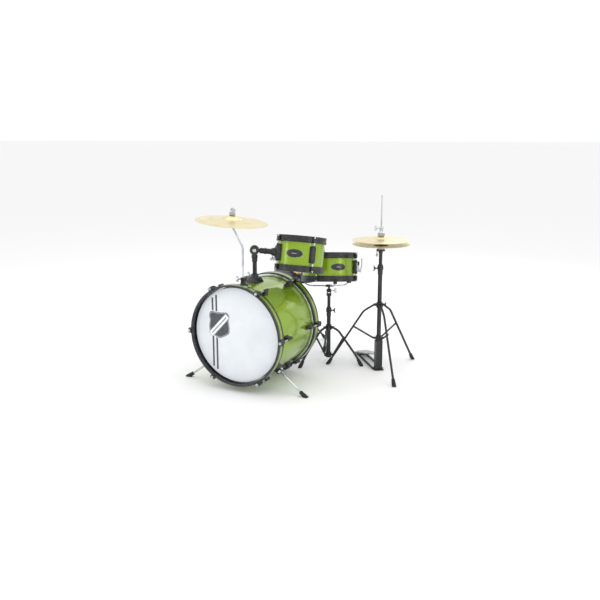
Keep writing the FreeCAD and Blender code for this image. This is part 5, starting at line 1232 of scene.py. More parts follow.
@dataclass
class TomMount:
    """Saddle on the bass drum, post with its knuckle, and the arm that carries the tom."""

    post_radius: float = 9.5
    sleeve_radius: float = 12.0
    knuckle_radius: float = 20.0
    arm_radius: float = 12.0
    saddle_height: float = 22.0
    saddle_length: float = 74.0
    saddle_width: float = 62.0
    socket_height: float = 14.0
    tom_radius: float = 101.6

    def build(self) -> None:
        """Builds the saddle, the post, the arm and the bracket."""
        foot = joint_place("tom_post_swivel")
        knuckle = joint_place("tom_arm_tilt")
        across = joint_axis("tom_arm_tilt")
        tom = node_centre("tom_shell")
        along = unit(tom - knuckle)
        self.make_saddle(foot)
        self.make_post(foot, knuckle, across)
        self.make_arm(knuckle, across, along, float(np.linalg.norm(tom - knuckle)))

    def make_saddle(self, foot: Array) -> None:
        """Moulded saddle, wide on the shell and narrow at its socket, with a clamp screw.

        Args:
            foot: the post's axis at the saddle's top.
        """
        height = self.saddle_height + 8
        base = block((self.saddle_width, self.saddle_length, height), 7.0, 2.4, (12.0, 13.0),
                     5).shifted(z=-height / 2)
        socket = turned_bar([(19, -4), (17, 1), (15, 5), (15, self.socket_height - 3),
                             (14, self.socket_height)], 1.4, 40)
        screw = wing_screw(9, 24).placed(aim((-1, 0, 0)), (-14, 0, self.socket_height / 2))
        ribs = join(block((self.saddle_width - 22, 3, height + 0.8), 1.0, 0.6, (10.0, 0.4)).shifted(
            0, sign * 17, -height / 2) for sign in (-1, 1))
        make_piece("tom_mount_saddle", join([base, socket, ribs]).carried(foot), ABS, "kit",
                   ["tom_mount_base"])
        make_piece("tom_mount_wing_screw", screw.carried(foot), CHROME, "kit")

    def make_post(self, foot: Array, knuckle: Array, across: Array) -> None:
        """Post: tube, ribbed sleeve and the fork's two cheeks.

        Args:
            foot: the post's axis at the saddle's top.
            knuckle: centre of the joint.
            across: the joint's axis.
        """
        top = knuckle[2] - foot[2] - self.knuckle_radius - 1
        sleeve = top - 30
        profile = [(self.post_radius, -16), (self.post_radius, sleeve), (self.sleeve_radius, sleeve + 2),
                   (self.sleeve_radius, sleeve + 12), (self.sleeve_radius - 1, sleeve + 14),
                   (self.sleeve_radius + 1.5, sleeve + 17), (self.sleeve_radius + 1.5, top - 6), (13.5, top)]
        stem = turned_bar(profile, 1.0, 40).carried(foot)
        inner, outer = self.arm_radius * 0.6 + 0.5, self.arm_radius * 0.6 + 6.5
        cheeks = []
        for sign in (-1, 1):
            cheek = turned_bar([(self.knuckle_radius, inner), (self.knuckle_radius, outer - 1.5),
                                (17.5, outer)], 1.2, 48)
            neck = turned_bar([(10, inner), (10, outer - 0.8)], 1.0)
            cheeks.append(cheek.placed(aim(across * sign), knuckle))
            cheeks.append(neck.placed(aim(across * sign),
                                      knuckle - np.array([0, 0, self.knuckle_radius - 1])))
        make_piece("tom_post_tube", join([stem, *cheeks]), ABS, "tom_post", ["tom_post"])

    def make_arm(self, knuckle: Array, across: Array, along: Array, reach: float) -> None:
        """Arm: knuckle disc, ringed tube, flared socket and the plate on the shell.

        Args:
            knuckle: centre of the joint.
            across: the joint's axis.
            along: direction from the joint to the tom.
            reach: distance from the joint to the tom's centre.
        """
        width = self.arm_radius * 0.6
        start, end = self.knuckle_radius + 3, reach - self.tom_radius
        disc = turned_bar([(17, -width), (17, width)], 1.2, 48).placed(aim(across), knuckle)
        flat = bar(knuckle, knuckle + along * (start + 6), width)
        radius = self.arm_radius
        profile = [(radius - 2, start - 2), (radius, start), (radius, start + 20), (radius + 2, start + 22),
                   (radius + 2, start + 26), (radius, start + 28), (radius, end - 2)]
        pipe = turned_bar(profile, 1.0, 40).placed(aim(along), knuckle)
        make_piece("tom_arm_tube", join([disc, flat, pipe]), ABS, "tom", ["tom_arm"])
        cap = turned_bar([(8.5, 15.5), (8.5, 17.5), (6.0, 19.0)], 0.8, 40)
        caps = join([cap.placed(aim(across * sign), knuckle) for sign in (-1, 1)])
        make_piece("tom_knuckle_caps", caps, CHROME, "tom")
        plate_form = block((58, 32, 11), 4.0, 2.2, (2.0, 2.5),
                           5).placed(aim(-along, UP), knuckle + along * (end - 3.5))
        flare = [(24, 3), (21, 8), (17.5, 13), (16, 18), (16, 22), (14.5, 24.5)]
        socket = turned_bar(flare, 1.4, 48).placed(aim(-along), knuckle + along * end)
        make_piece("tom_bracket_socket", join([plate_form, socket]), ABS, "tom", ["tom_bracket"])
        under = np.cross(across, along)
        under = -under if under[2] > 0 else under
        screw = wing_screw(10, 20).placed(aim(under), knuckle + along * (end - 17) + under * 14.0)
        make_piece("tom_bracket_wing_screw", screw, CHROME, "tom")


# ================================================================ cymbals
def cymbal_brass(name: str, centre: Array, lean: float = 0.0) -> LathedBrass:
    """Brass of one cymbal, whose rings run round its own axis."""
    return LathedBrass(f"lathed_brass_{name}", "#e9dcae", 0.3, Slot.CYMBAL_BRASS, 0.7, centre=tuple(centre),
                       lean=lean)


@dataclass
class Cymbal:
    """Cymbal dish, built with its rim's plane at height 0 and its bell upwards."""

    radius: float
    height: float
    thickness: float
    hole: float

    def form(self) -> Form:
        """Closed dish.

        Its height at distance r is bow (1 - (r/R)^2) plus, inside the bell's radius b, bell (1 - (r/b)^2)^0.75,
        and the underside lies one thickness lower.

        Returns:
            The dish.
        """
        bell_radius = self.radius * 0.27
        bow = self.height * 0.44
        reach = np.unique(np.concatenate([np.linspace(self.hole, bell_radius * 1.1, 22),
                                          np.linspace(bell_radius * 1.1, self.radius, 30)]))
        bell = np.maximum(1 - (reach / bell_radius) ** 2, 0.0) ** 0.75
        level = bow * (1 - (reach / self.radius) ** 2) + (self.height - bow) * bell
        level = np.convolve(np.pad(level, 1, mode="edge"), np.array([0.25, 0.5, 0.25]), "valid")
        level[-1] = 0.0
        top = np.column_stack([reach, level])
        under = np.column_stack([reach, level - self.thickness])[::-1]
        return lathe(np.vstack([top, under]), 144, loop=True)


@dataclass
class CrashCymbal:
    """Crash cymbal on its bent rod: holder, rod, felts, cup and wing nut."""

    rod_radius: float = 4.2
    bend_height: float = 612.0
    lean: tuple[float, float, float] = (-39.0, -20.0, 88.0)
    rim_over_lean: float = 17.0
    rod_over_bell: float = 32.0
    thickness: float = 1.4
    gap: float = 1.6
    felt_radius: float = 13.0
    felt_height: float = 12.0

    def build(self) -> None:
        """Builds and dresses every piece of the crash."""
        bell = joint_place("crash_cymbal_spin")
        normal = joint_axis("crash_cymbal_spin")
        foot = joint_place("crash_rod_swivel")
        low, high = node_corners("crash_cymbal")
        height = self.make_rod(bell, normal, foot)
        half = (high[1] - low[1]) / 2
        dish = Cymbal(half, height, self.thickness, self.rod_radius + self.gap)
        centre = bell - normal * height
        lean = math.degrees(math.atan2(normal[0], normal[2]))
        brass = cymbal_brass("crash", centre, lean)
        make_piece("crash_cymbal_dish", dish.form().placed(turn_about("Y", lean), centre), brass,
                   "crash_cymbal",
                   ["crash_cymbal"])
        self.make_holder(foot)

    def make_rod(self, bell: Array, normal: Array, foot: Array) -> float:
        """Rod, felts, cup and nut.

        Args:
            bell: top of the cymbal's bell on its axis.
            normal: the cymbal's axis.
            foot: the rod's axis at the holder's top.

        Returns:
            Height of the cymbal from its rim to its bell.
        """
        bend = np.array([foot[0], foot[1], self.bend_height])
        lean = bend + np.array(self.lean)
        top = bell + normal * self.rod_over_bell
        start = np.array([foot[0], foot[1], node_corners("crash_rod")[0][2]])
        path = soften([start, start + (bend - start) * 0.5, bend, lean, lean + (top - lean) * 0.5, top], 11.0,
                      steps=7)
        tip = np.vstack([path[:-1], path[-1] - normal * 1.2, path[-1]])
        scale = np.append(np.ones(len(path)), 0.7)
        rod = sweep(tip, circle(self.rod_radius, 24), np.cross(bend - lean, UP), scale)
        make_piece("crash_rod_bright", rod, CHROME, "crash_rod", ["crash_rod"])
        under = bell - normal * (self.thickness + self.gap)
        tall = self.felt_height
        seat = collar_ring(self.rod_radius, self.felt_radius, -tall, 0, 3.0, 40).placed(aim(normal), under)
        upper = collar_ring(self.rod_radius, self.felt_radius, 0.4, tall, 3.0, 40).placed(aim(normal), bell)
        make_piece("crash_felts", join([seat, upper]), FELT, "crash_rod")
        cup = collar_ring(self.rod_radius, self.felt_radius + 1, -tall - 4, -tall, 1.0,
                          40).placed(aim(normal), under)
        washer = collar_ring(self.rod_radius, self.felt_radius - 1, tall, tall + 1.4, 0.4,
                             40).placed(aim(normal), bell)
        make_piece("crash_cup_and_washer", join([cup, washer]), CHROME, "crash_rod")
        nut = wing_screw(0.5, 30).placed(aim(normal, (1, 0, 0)), bell + normal * 13)
        make_piece("crash_wing_nut", nut, CHROME, "crash_rod")
        rim = lean + normal * self.rim_over_lean
        return float((bell - rim) @ normal)

    def make_holder(self, foot: Array) -> None:
        """Holder on the shell: plate, post with a step, and its wing screw.

        Args:
            foot: the rod's axis at the holder's top.
        """
        shell_top = node_corners("bass_shell")[1][2]
        drop = foot[2] - shell_top
        post = turned_bar([(14, -drop - 3), (14, -drop + 8), (11, -drop + 11), (11, -9), (12, -7), (12, -1),
                           (6, 0)], 1.0, 40)
        base = block((34, 44, 12), 5.0, 2.0, (3.0, 3.0)).shifted(z=-drop - 1)
        make_piece("crash_holder_post", join([post, base]).carried(foot), ABS, "kit", ["crash_holder"])
        screw = wing_screw(9, 26).placed(aim((-1, 0, 0)), foot + np.array([-11, 0, -9]))
        make_piece("crash_holder_wing_screw", screw, CHROME, "kit")


# ================================================================ stands
@dataclass
class TripodLegs:
    """The three bent legs of a stand, each with its rubber boot; points are (reach, height) from the stand's
    axis."""

    name: str
    points: tuple[tuple[float, float], ...]
    bodies: tuple[str, ...]
    nodes: tuple[str, ...]
    axis: Array
    azimuths: tuple[float, ...]
    width: float = 9.0
    pin_half: float = 8.0

    def build(self) -> None:
        """Builds each leg as a rounded channel along its softened path, and the boot that it stands on."""
        section = rounded_outline(np.array([self.width / 2]), np.array([self.width / 2]), np.array([2.4]),
                                  4)[0]
        path = soften([(reach, 0, height) for reach, height in self.points], 14.0, steps=6)
        last, before = path[-1], path[-2]
        down = unit(last - before)
        line = np.vstack([path[:1] - (path[1] - path[0]) / np.linalg.norm(path[1] - path[0]) * 3.4, path])
        scale = np.append([0.72], np.ones(len(path)))
        leg = sweep(line, section, (0, 1, 0), scale)
        top = self.points[0]
        pin = bar((top[0], -self.pin_half, top[1]), (top[0], self.pin_half, top[1]), 2.4)
        heads = [bar((top[0], sign * (self.pin_half - 0.4), top[1]),
                     (top[0], sign * (self.pin_half + 1.4), top[1]),
                     4.2, 0.8) for sign in (-1, 1)]
        profile = [(5.8, 0), (7.8, 2), (8.0, 7), (7.2, 9), (8.4, 12), (9.2, 22), (9.6, 40)]
        boot = turned_bar(profile, 1.4, 32).placed(aim(down), last - down * 22)
        for body, node, azimuth in zip(self.bodies, self.nodes, self.azimuths):
            spot = (self.axis[0], self.axis[1], 0.0)
            turn = turn_about("Z", azimuth)
            place = f"{self.name}_leg_{azimuth:.0f}".replace("-", "m")
            stands = [node] if node else []
            make_piece(f"{place}_channel", join([leg, pin, *heads]).placed(turn, spot), STEEL, body, stands)
            make_piece(f"{place}_boot", boot.placed(turn, spot).standing(), RUBBER, body, stands)


def tripod_azimuths(name: str, axis: Array) -> tuple[float, ...]:
    """Azimuths of a folding stand's legs, from their hinges."""
    places = [joint_place(f"{name}_leg_{index}_swing") - axis for index in (1, 2, 3)]
    return tuple(math.degrees(math.atan2(place[1], place[0])) for place in places)


def folding_legs(name: str, tube: str, points: tuple[tuple[float, float], ...]) -> TripodLegs:
    """Legs of a folding stand.

    Args:
        name: the stand's name in the joints and bodies.
        tube: CAD node whose middle is the stand's axis.
        points: (reach, height) points of a leg.

    Returns:
        The legs, ready to build.
    """
    axis = node_centre(tube)
    names = tuple(f"{name}_leg_{index}" for index in (1, 2, 3))
    return TripodLegs(name, points, names, names, axis, tripod_azimuths(name, axis))


@dataclass
class SnareStand:
    """Snare stand and cradle: tube, collars, braces, legs, tilter, basket, strainer and wires."""

    arm_reach: float = 101.0
    hub_height: float = 23.0
    first_arm: float = 40.0
    drum_radius: float = 127.0
    rim_radius: float = 134.0
    lean: float = -10.0
    over_pivot: float = 111.5
    drum_length: float = 117.0
    strainer_azimuth: float = 24.0
    wires: int = 16
    wire_reach: float = 98.0
    wire_spread: float = 18.0
    wire_radius: float = 0.45

    def __post_init__(self) -> None:
        """Reads the tilter's pivot and the drum's lean from the frame."""
        self.pivot = joint_place("snare_basket_tilt")
        self.across = joint_axis("snare_basket_tilt")
        self.azimuth = math.degrees(math.atan2(self.across[1], self.across[0]))
        self.rotation = turn_round(self.across, self.lean)

    def on_tilter(self, form: Form) -> Form:
        """Form about the tilter's pivot, leaning with the snare."""
        return form.placed(self.rotation @ turn_about("Z", self.azimuth), self.pivot)

    def on_drum(self, form: Form) -> Form:
        """Form about the snare's centre, turned to the strainer."""
        return form.placed(self.rotation @ turn_about("Z", self.strainer_azimuth), node_centre("snare_shell"))

    def build(self) -> None:
        """Builds and dresses every piece of the stand and cradle."""
        for node in ("snare_stand_tube", "snare_stand_collar", "snare_stand_upper_tube",
                     "snare_stand_brace_1", "snare_stand_brace_2", "snare_stand_brace_3"):
            dress_node(node, STEEL)
        folding_legs("snare_stand", "snare_stand_upper_tube",
                     ((22.0, 172.0), (50.0, 160.0), (142.0, 46.0), (162.0, 12.0))).build()
        self.make_basket()
        self.make_strainer()
        self.make_wires()

    def make_basket(self) -> None:
        """Tilter disc and hub in black, three bright bent arms, and the rubber grips under the rim."""
        disc = turned_bar([(8.5, -5), (8.5, 5)], 1.0, 40).placed(aim((1, 0, 0)))
        stem = turned_bar([(5, 4), (5, self.hub_height)], 0.6)
        hub = turned_bar([(15, self.hub_height - 6), (17.5, self.hub_height - 3), (17.5, self.hub_height + 3),
                          (12, self.hub_height + 6)], 1.4, 48)
        make_piece("snare_tilter", self.on_tilter(join([disc, stem, hub])), STEEL, "snare", ["snare_basket"])
        rim_low = self.over_pivot - self.drum_length / 2 - 9.0
        grip = self.rim_radius + 1
        path = soften([(10, 0, self.hub_height), (self.arm_reach, 0, self.hub_height),
                       (grip - 4, 0, rim_low - 6)],
                      13.0, steps=8)
        arm = sweep(path, circle(3.6, 20), (0, 1, 0))
        make_piece("snare_basket_arms", self.on_tilter(ring_of(arm, 3, self.first_arm)), CHROME, "snare",
                   ["snare_basket"])
        outline = [(-13, -10), (4, -10), (4, 12), (-0.8, 12), (-0.8, 0), (-13, -0.2)]
        shoe = plate(soften(outline, 1.6, loop=True, steps=4), -7, 7, (-0.5, -4.0))
        shoe = shoe.placed(UPRIGHT, (grip, 0, rim_low))
        make_piece("snare_basket_grips", self.on_tilter(ring_of(shoe, 3, self.first_arm)), RUBBER, "snare",
                   ["snare_basket"])
        screw = wing_screw(9, 24).placed(aim((1, 0, 0), UP), (13, 0, 0))
        pin = bar((-14, 0, 0), (14, 0, 0), 2.95)
        make_piece("snare_tilter_screw", self.on_tilter(join([screw, pin])), CHROME, "snare",
                   ["snare_basket"])

    def make_strainer(self) -> None:
        """Throw-off: plate, housing with its slot, knurled tension knob, and the butt plate opposite."""
        upright = turn_about("Y", 90)
        plate_form = block((62, 26, 6), 4.0, 1.6).placed(upright, (self.drum_radius + 4, 0, 0))
        housing = block((34, 16, 13), 3.5, 2.2, (1.0, 1.0),
                        5).placed(upright, (self.drum_radius + 9.5, 0, -8))
        cheeks = [block((12, 3, 16), 1.2, 0.8).shifted(self.drum_radius + 19, sign * 6.5,
                                                       -18) for sign in (-1, 1)]
        butt = block((30, 28, 7), 4.0, 1.8).placed(upright, (-self.drum_radius - 3.5, 0, -14))
        make_piece("snare_strainer_housing", self.on_drum(join([plate_form, housing, *cheeks, butt])), CHROME,
                   "snare", ["snare_strainer"])
        knob = turned_bar([(5.4, 8), (6.2, 10), (6.2, 23), (5.0, 26)], 0.8, 12).shifted(self.drum_radius + 10)
        make_piece("snare_strainer_knob", self.on_drum(knob), ABS, "snare", ["snare_strainer"])
        dress_node("snare_lever", CHROME)

    def make_wires(self) -> None:
        """Snare wires: rippled wires between two end plates, under the lower head.

        Each wire's height ripples as a sine of the distance along it.
        """
        low = -self.drum_length / 2 - 1.9
        along = np.linspace(-self.wire_reach, self.wire_reach, 120)
        wires = []
        for offset in np.linspace(-self.wire_spread, self.wire_spread, self.wires):
            path = np.column_stack([along, np.full(len(along), offset), low + 0.35 * np.sin(along * 2.1)])
            wires.append(sweep(path, circle(self.wire_radius, 5), UP))
        ends = [block((12, 44, 2.0), 2.0, 0.6).shifted(sign * (self.wire_reach + 3), 0,
                                                       low) for sign in (-1, 1)]
        make_piece("snare_wire_strands", self.on_drum(join([*wires, *ends])), CHROME, "snare",
                   ["snare_wires"])


@dataclass
class HiHat:
    """Hi-hat: stand, legs, cymbals, clutch, pull rod and footboard."""

    seat_radius: float = 20.0
    upper_radius: float = 7.9
    pull_radius: float = 3.0
    bore: float = 4.5
    clutch_bore: float = 5.6
    thickness: float = 1.3

    def __post_init__(self) -> None:
        """Reads the stand's axis from the frame."""
        self.axis = node_centre("hihat_cymbal_top") * np.array([1, 1, 0])
        self.side = -joint_axis("snare_basket_tilt")

    def build(self) -> None:
        """Builds and dresses every piece of the hi-hat."""
        for node in ("hihat_base", "hihat_collar", "hihat_brace_1", "hihat_brace_2", "hihat_brace_3"):
            dress_node(node, STEEL)
        dress_node("hihat_footboard", CAST)
        folding_legs("hihat", "hihat_cymbal_top",
                     ((24.0, 309.0), (74.0, 275.0), (230.0, 25.0), (238.0, 12.0))).build()
        self.make_upper()
        self.make_cymbals()
        self.make_clutch()
        dress_node("hihat_pull_rod", CHROME)

    def make_upper(self) -> None:
        """Sliding tube with the seat's cup, its tilt screw, and the felt under the lower cymbal."""
        low, high = node_corners("hihat_upper_tube")
        seat = high[2]
        profile = [(self.upper_radius, low[2]), (self.upper_radius, seat - 24), (9.5, seat - 22),
                   (9.5, seat - 15), (self.seat_radius - 1, seat - 13), (self.seat_radius, seat - 10),
                   (self.seat_radius, seat - 6)]
        tube = turned_bar(profile, 1.0, 48).carried(self.axis)
        spot = self.axis + self.side * 17
        screw = turned_bar([(2.5, seat - 30), (2.5, seat - 9)], 0.4, 20)
        head = turned_bar([(5, seat - 38), (5, seat - 29), (3.5, seat - 27)], 0.8, 24)
        make_piece("hihat_seat_tube", tube, STEEL, "hihat_upper", ["hihat_upper_tube"])
        make_piece("hihat_tilt_screw", join([screw, head]).carried(spot), CHROME, "hihat_upper")
        felt = collar_ring(self.bore, 17.0, seat - 6, seat, 1.8, 48).carried(self.axis)
        make_piece("hihat_seat_felt", felt, FELT, "hihat_upper")

    def make_cymbals(self) -> None:
        """Upper cymbal bell up and lower cymbal bell down, rims facing each other."""
        for name, body, flipped in (("hihat_cymbal_top", "hihat_top", False),
                                    ("hihat_cymbal_bottom", "hihat_upper", True)):
            low, high = node_corners(name)
            radius = (high[0] - low[0]) / 2
            height = high[2] - low[2] - self.thickness
            dish = Cymbal(radius, height, self.thickness, self.bore if flipped else self.clutch_bore).form()
            centre = self.axis + np.array([0, 0, low[2] + self.thickness])
            if flipped:
                dish = dish.mirrored()
                centre = self.axis + np.array([0, 0, high[2] - self.thickness])
            brass = cymbal_brass(name, centre)
            make_piece(f"{name}_dish", dish.carried(centre), brass, body, [name])

    def make_clutch(self) -> None:
        """Clutch: threaded barrel, stepped head, washer, two felts, lower nut and wing screw."""
        bell = node_corners("hihat_cymbal_top")[1][2]
        bore = self.pull_radius + 0.1
        section = [(bore, bell - 14), (5.3, bell - 14), (5.3, bell + 12), (17, bell + 12.2),
                   (17, bell + 15.5), (10, bell + 17), (8, bell + 20), (8, bell + 30), (9.2, bell + 32),
                   (9.2, bell + 38), (7.4, bell + 42), (bore, bell + 42)]
        barrel = lathe(soften(section, 0.8, loop=True, steps=4), 48, loop=True)
        nut = collar_ring(bore, 10.0, bell - 14, bell - 7.2, 1.2, 6)
        make_piece("hihat_clutch_barrel", join([barrel, nut]).carried(self.axis), CHROME, "hihat_top",
                   ["hihat_clutch"])
        felts = join([collar_ring(5.4, 16.0, bell + 0.1, bell + 12, 3.0, 48),
                      collar_ring(5.4, 11.0, bell - 7, bell - 2.4, 1.6, 48)])
        make_piece("hihat_clutch_felts", felts.carried(self.axis), FELT, "hihat_top", ["hihat_clutch"])
        screw = wing_screw(9, 22).placed(aim(self.side, UP),
                                         self.axis + self.side * 7 + np.array([0, 0, bell + 35]))
        make_piece("hihat_clutch_wing_screw", screw, CHROME, "hihat_top", ["hihat_clutch"])


@dataclass
class BassPedal:
    """Bass drum pedal: cast frame and footboard, beater with its felt head."""

    head_radius: float = 20.0
    head_half: float = 24.0
    beater_length: float = 120.0
    lean: float = 40.0

    def build(self) -> None:
        """Builds and dresses every piece of the pedal."""
        dress_node("pedal_frame", STEEL)
        dress_node("pedal_footboard", CAST)
        axle = joint_place("pedal_beater_swing")
        along = turn_about("X", -self.lean) @ np.array([0, 0, 1.0])
        across = np.array([1.0, 0, 0])
        shaft = bar(axle - along * 26, axle + along * self.beater_length, 3.2)
        spindle = bar(axle - across * 36, axle + across * 36, 6.0)
        pin = bar(axle - across * 45, axle + across * 45, 4.9)
        cam = bar(axle - across * 6, axle + across * 6, 20.0, 1.6, 48)
        weight = bar(axle - along * 27, axle - along * 18, 6.5, 1.0)
        make_piece("pedal_beater_shaft", join([shaft, spindle, pin, cam, weight]), CHROME, "pedal_beater",
                   ["pedal_beater"])
        centre = axle + along * self.beater_length
        strike = np.cross(along, across)
        half, radius = self.head_half, self.head_radius
        profile = [(radius - 5, -half), (radius, -half + 7), (radius, half - 7), (radius - 5, half)]
        head = turned_bar(profile, 5.0, 48).placed(aim(strike), centre)
        make_piece("pedal_beater_felt", head, FELT, "pedal_beater", ["pedal_beater"])


# ================================================================ throne
@dataclass
class Throne:
    """Drummer's throne: sewn round seat, post, tripod base and the pair of sticks that lies on the seat."""

    swell: float = 6.0
    voxel: float = 5.0
    pressure: float = 4.0
    frames: int = 20
    leg_first: float = -61.0
    foot_reach: float = 174.0
    stick_length: float = 330.0
    stick_radius: float = 6.4
    stick_azimuth: float = -43.4
    stick_offset: float = 42.0

    def __post_init__(self) -> None:
        """Reads the seat's place and size from the frame."""
        self.low, self.high = node_corners("throne_seat")
        self.centre = (self.low + self.high) / 2
        self.axis = self.centre * np.array([1, 1, 0])
        self.radius = (self.high[0] - self.low[0]) / 2

    def build(self) -> None:
        """Builds and dresses every piece of the throne."""
        seat = self.make_seat()
        self.make_seams(seat)
        self.make_base()
        dress_node("throne_post", STEEL)
        self.make_sticks()

    def make_seat(self) -> bpy.types.Object:
        """Stuffed seat: a drum-shaped pad, a little small, blown up as cloth and held flat underneath.

        Returns:
            The seat's object.
        """
        low, high = self.low[2], self.high[2]
        inset = self.swell
        profile = [(0, low + 0.4), (self.radius - inset - 4, low + 0.4), (self.radius - inset, low + 6),
                   (self.radius - inset, high - inset - 9), (self.radius - inset - 7, high - inset - 2),
                   (self.radius * 0.55, high - inset), (0, high - inset + 1.0)]
        pad = lathe(soften(profile, 9.0, steps=6), 96).carried(self.axis)
        seat = make_piece("throne_seat_cover", pad, VINYL, "throne_top", ["throne_seat"])
        self.inflate(seat)
        smooth = seat.modifiers.new("smooth", "SUBSURF")
        smooth.levels = smooth.render_levels = 1
        return seat

    def inflate(self, seat: bpy.types.Object) -> None:
        """Runs the cloth simulation and keeps its capped result as the seat's mesh.

        Args:
            seat: the pad's object.
        """
        remesh = seat.modifiers.new("voxels", "REMESH")
        remesh.mode = "VOXEL"
        remesh.voxel_size = self.voxel / METRE
        remesh.use_smooth_shade = True
        self.bake(seat)
        rest = self.read_points(seat)
        holders = seat.vertex_groups.new(name="board")
        under = np.flatnonzero(rest[:, 2] < (self.low[2] + 7) / METRE)
        holders.add(under.tolist(), 1.0, "REPLACE")
        cloth = seat.modifiers.new("stuffing", "CLOTH")
        cloth.settings.use_pressure = True
        cloth.settings.uniform_pressure_force = self.pressure
        cloth.settings.tension_stiffness = 12.0
        cloth.settings.compression_stiffness = 12.0
        cloth.settings.vertex_group_mass = "board"
        cloth.settings.effector_weights.gravity = 0.0
        cloth.point_cache.frame_start = 1
        cloth.point_cache.frame_end = self.frames
        for step in range(1, self.frames + 1):
            bpy.context.scene.frame_set(step)
        self.bake(seat)
        bpy.context.scene.frame_set(1)
        moved = self.read_points(seat) - rest
        length = np.linalg.norm(moved, axis=1, keepdims=True)
        cap = self.swell / METRE * 0.95
        points = rest + moved * np.minimum(1.0, cap / np.maximum(length, 1e-9))
        points[:, 2] = np.clip(points[:, 2], (self.low[2] + 0.2) / METRE, (self.high[2] - 0.6) / METRE)
        seat.data.vertices.foreach_set("co", points.ravel())
        seat.data.update()

    def bake(self, seat: bpy.types.Object) -> None:
        """Replaces the mesh by what its modifiers make, and removes them.

        Args:
            seat: the seat.
        """
        made = bpy.data.meshes.new_from_object(seat.evaluated_get(bpy.context.evaluated_depsgraph_get()))
        seat.modifiers.clear()
        seat.data = made
        made.polygons.foreach_set("use_smooth", np.ones(len(made.polygons), bool))

    def read_points(self, seat: bpy.types.Object) -> Array:
        """Points of the seat's mesh in metres.

        Args:
            seat: the seat.

        Returns:
            Its points.
        """
        points = np.zeros(len(seat.data.vertices) * 3)
        seat.data.vertices.foreach_get("co", points)
        return points.reshape(-1, 3)

    def make_seams(self, seat: bpy.types.Object) -> None:
        """Piping round the top panel and the skirt, and a row of stitches beside each.

        Args:
            seat: the stuffed seat, whose own radius at each seam the piping follows.
        """
        points = self.read_points(seat) * METRE - self.axis
        radius = np.hypot(points[:, 0], points[:, 1])
        cords, stitches = [], []
        for height in (self.high[2] - 15.0, self.low[2] + 12.0):
            band = np.abs(points[:, 2] - height) < 3.5
            reach = float(np.percentile(radius[band & (radius > self.radius * 0.8)], 60))
            ring = circle(2.3, 12) + np.array([reach + 0.4, height])
            cords.append(lathe(ring, 144, loop=True))
            stitch = block((1.0, 4.4, 1.1), 0.4, 0.3, steps=2).shifted(reach + 0.3, 0, height - 5.5)
            stitches.append(ring_of(stitch, 96))
        make_piece("throne_seat_piping", join(cords).carried(self.axis), PIPING, "throne_top")
        make_piece("throne_seat_stitches", join(stitches).carried(self.axis), THREAD, "throne_top")

    def make_base(self) -> None:
        """Base: the tube and collars, and three legs with braces and boots."""
        legs = ((17.5, 172.0), (58.0, 146.0), (self.foot_reach - 8, 22.0), (self.foot_reach, 12.0))
        azimuths = tuple(self.leg_first + index * 120.0 for index in range(3))
        TripodLegs("throne", legs, ("kit",) * 3, ("", "", ""), self.axis, azimuths).build()
        profile = [(12.5, 62), (12.5, 63), (17, 64), (17, 84), (12.5, 86), (12.5, 159), (17, 161), (17, 183),
                   (12.5, 185), (12.5, 201), (14.5, 203), (14.5, 212), (17, 216), (17, 227), (14, 235)]
        tube = turned_bar(profile, 1.0, 48)
        brace = block((math.hypot(75, 37) + 8, 3.0, 8.0), 1.4, 1.0)
        brace = brace.turned("Y", -math.degrees(math.atan2(37, 75))).shifted(55, 6, 92)
        screw = wing_screw(9, 26).placed(aim((1, 0, 0), UP), (15, 0, 220)).turned("Z", 200)
        form = join([tube, ring_of(brace, 3, self.leg_first)]).carried(self.axis)
        make_piece("throne_base_tube", form, STEEL, "kit", ["throne_base"])
        make_piece("throne_base_wing_screw", screw.carried(self.axis), CHROME, "kit")

    def make_sticks(self) -> None:
        """Pair of sticks side by side: each turned with a rounded butt, a long taper, a neck and an oval
        tip."""
        length, radius = self.stick_length, self.stick_radius
        profile = [(0, 0), (radius - 2, 0.4), (radius, 4), (radius, length * 0.7),
                   (radius * 0.82, length * 0.84),
                   (3.0, length - 13), (3.2, length - 11), (4.8, length - 7), (4.4, length - 3), (0, length)]
        stick = lathe(soften(profile, 3.0, steps=5), 40).turned("Y", 90)
        wood = TurnedHickory("turned_hickory", "#ecd3a4", 0.38, Slot.HICKORY, coat=0.35,
                             azimuth=self.stick_azimuth,
                             clouds=Clouds(3.0, "#c79a62", "#ecd3a4", 5.0, 0.3, 0.6),
                             skin=Skin(0.9, 0.08, 0.3, 2.0))
        low = node_corners("drumsticks")[0][2]
        turn = turn_about("Z", self.stick_azimuth)
        forms = []
        for side in (-1, 1):
            across = self.stick_offset + side * (radius + 1.2)
            origin = self.axis + turn @ np.array([-length / 2, -across, 0]) + np.array([0, 0, low + radius])
            forms.append(stick.placed(turn, origin))
        make_piece("drumstick_pair", join(forms), wood, "throne_top", ["drumsticks"])


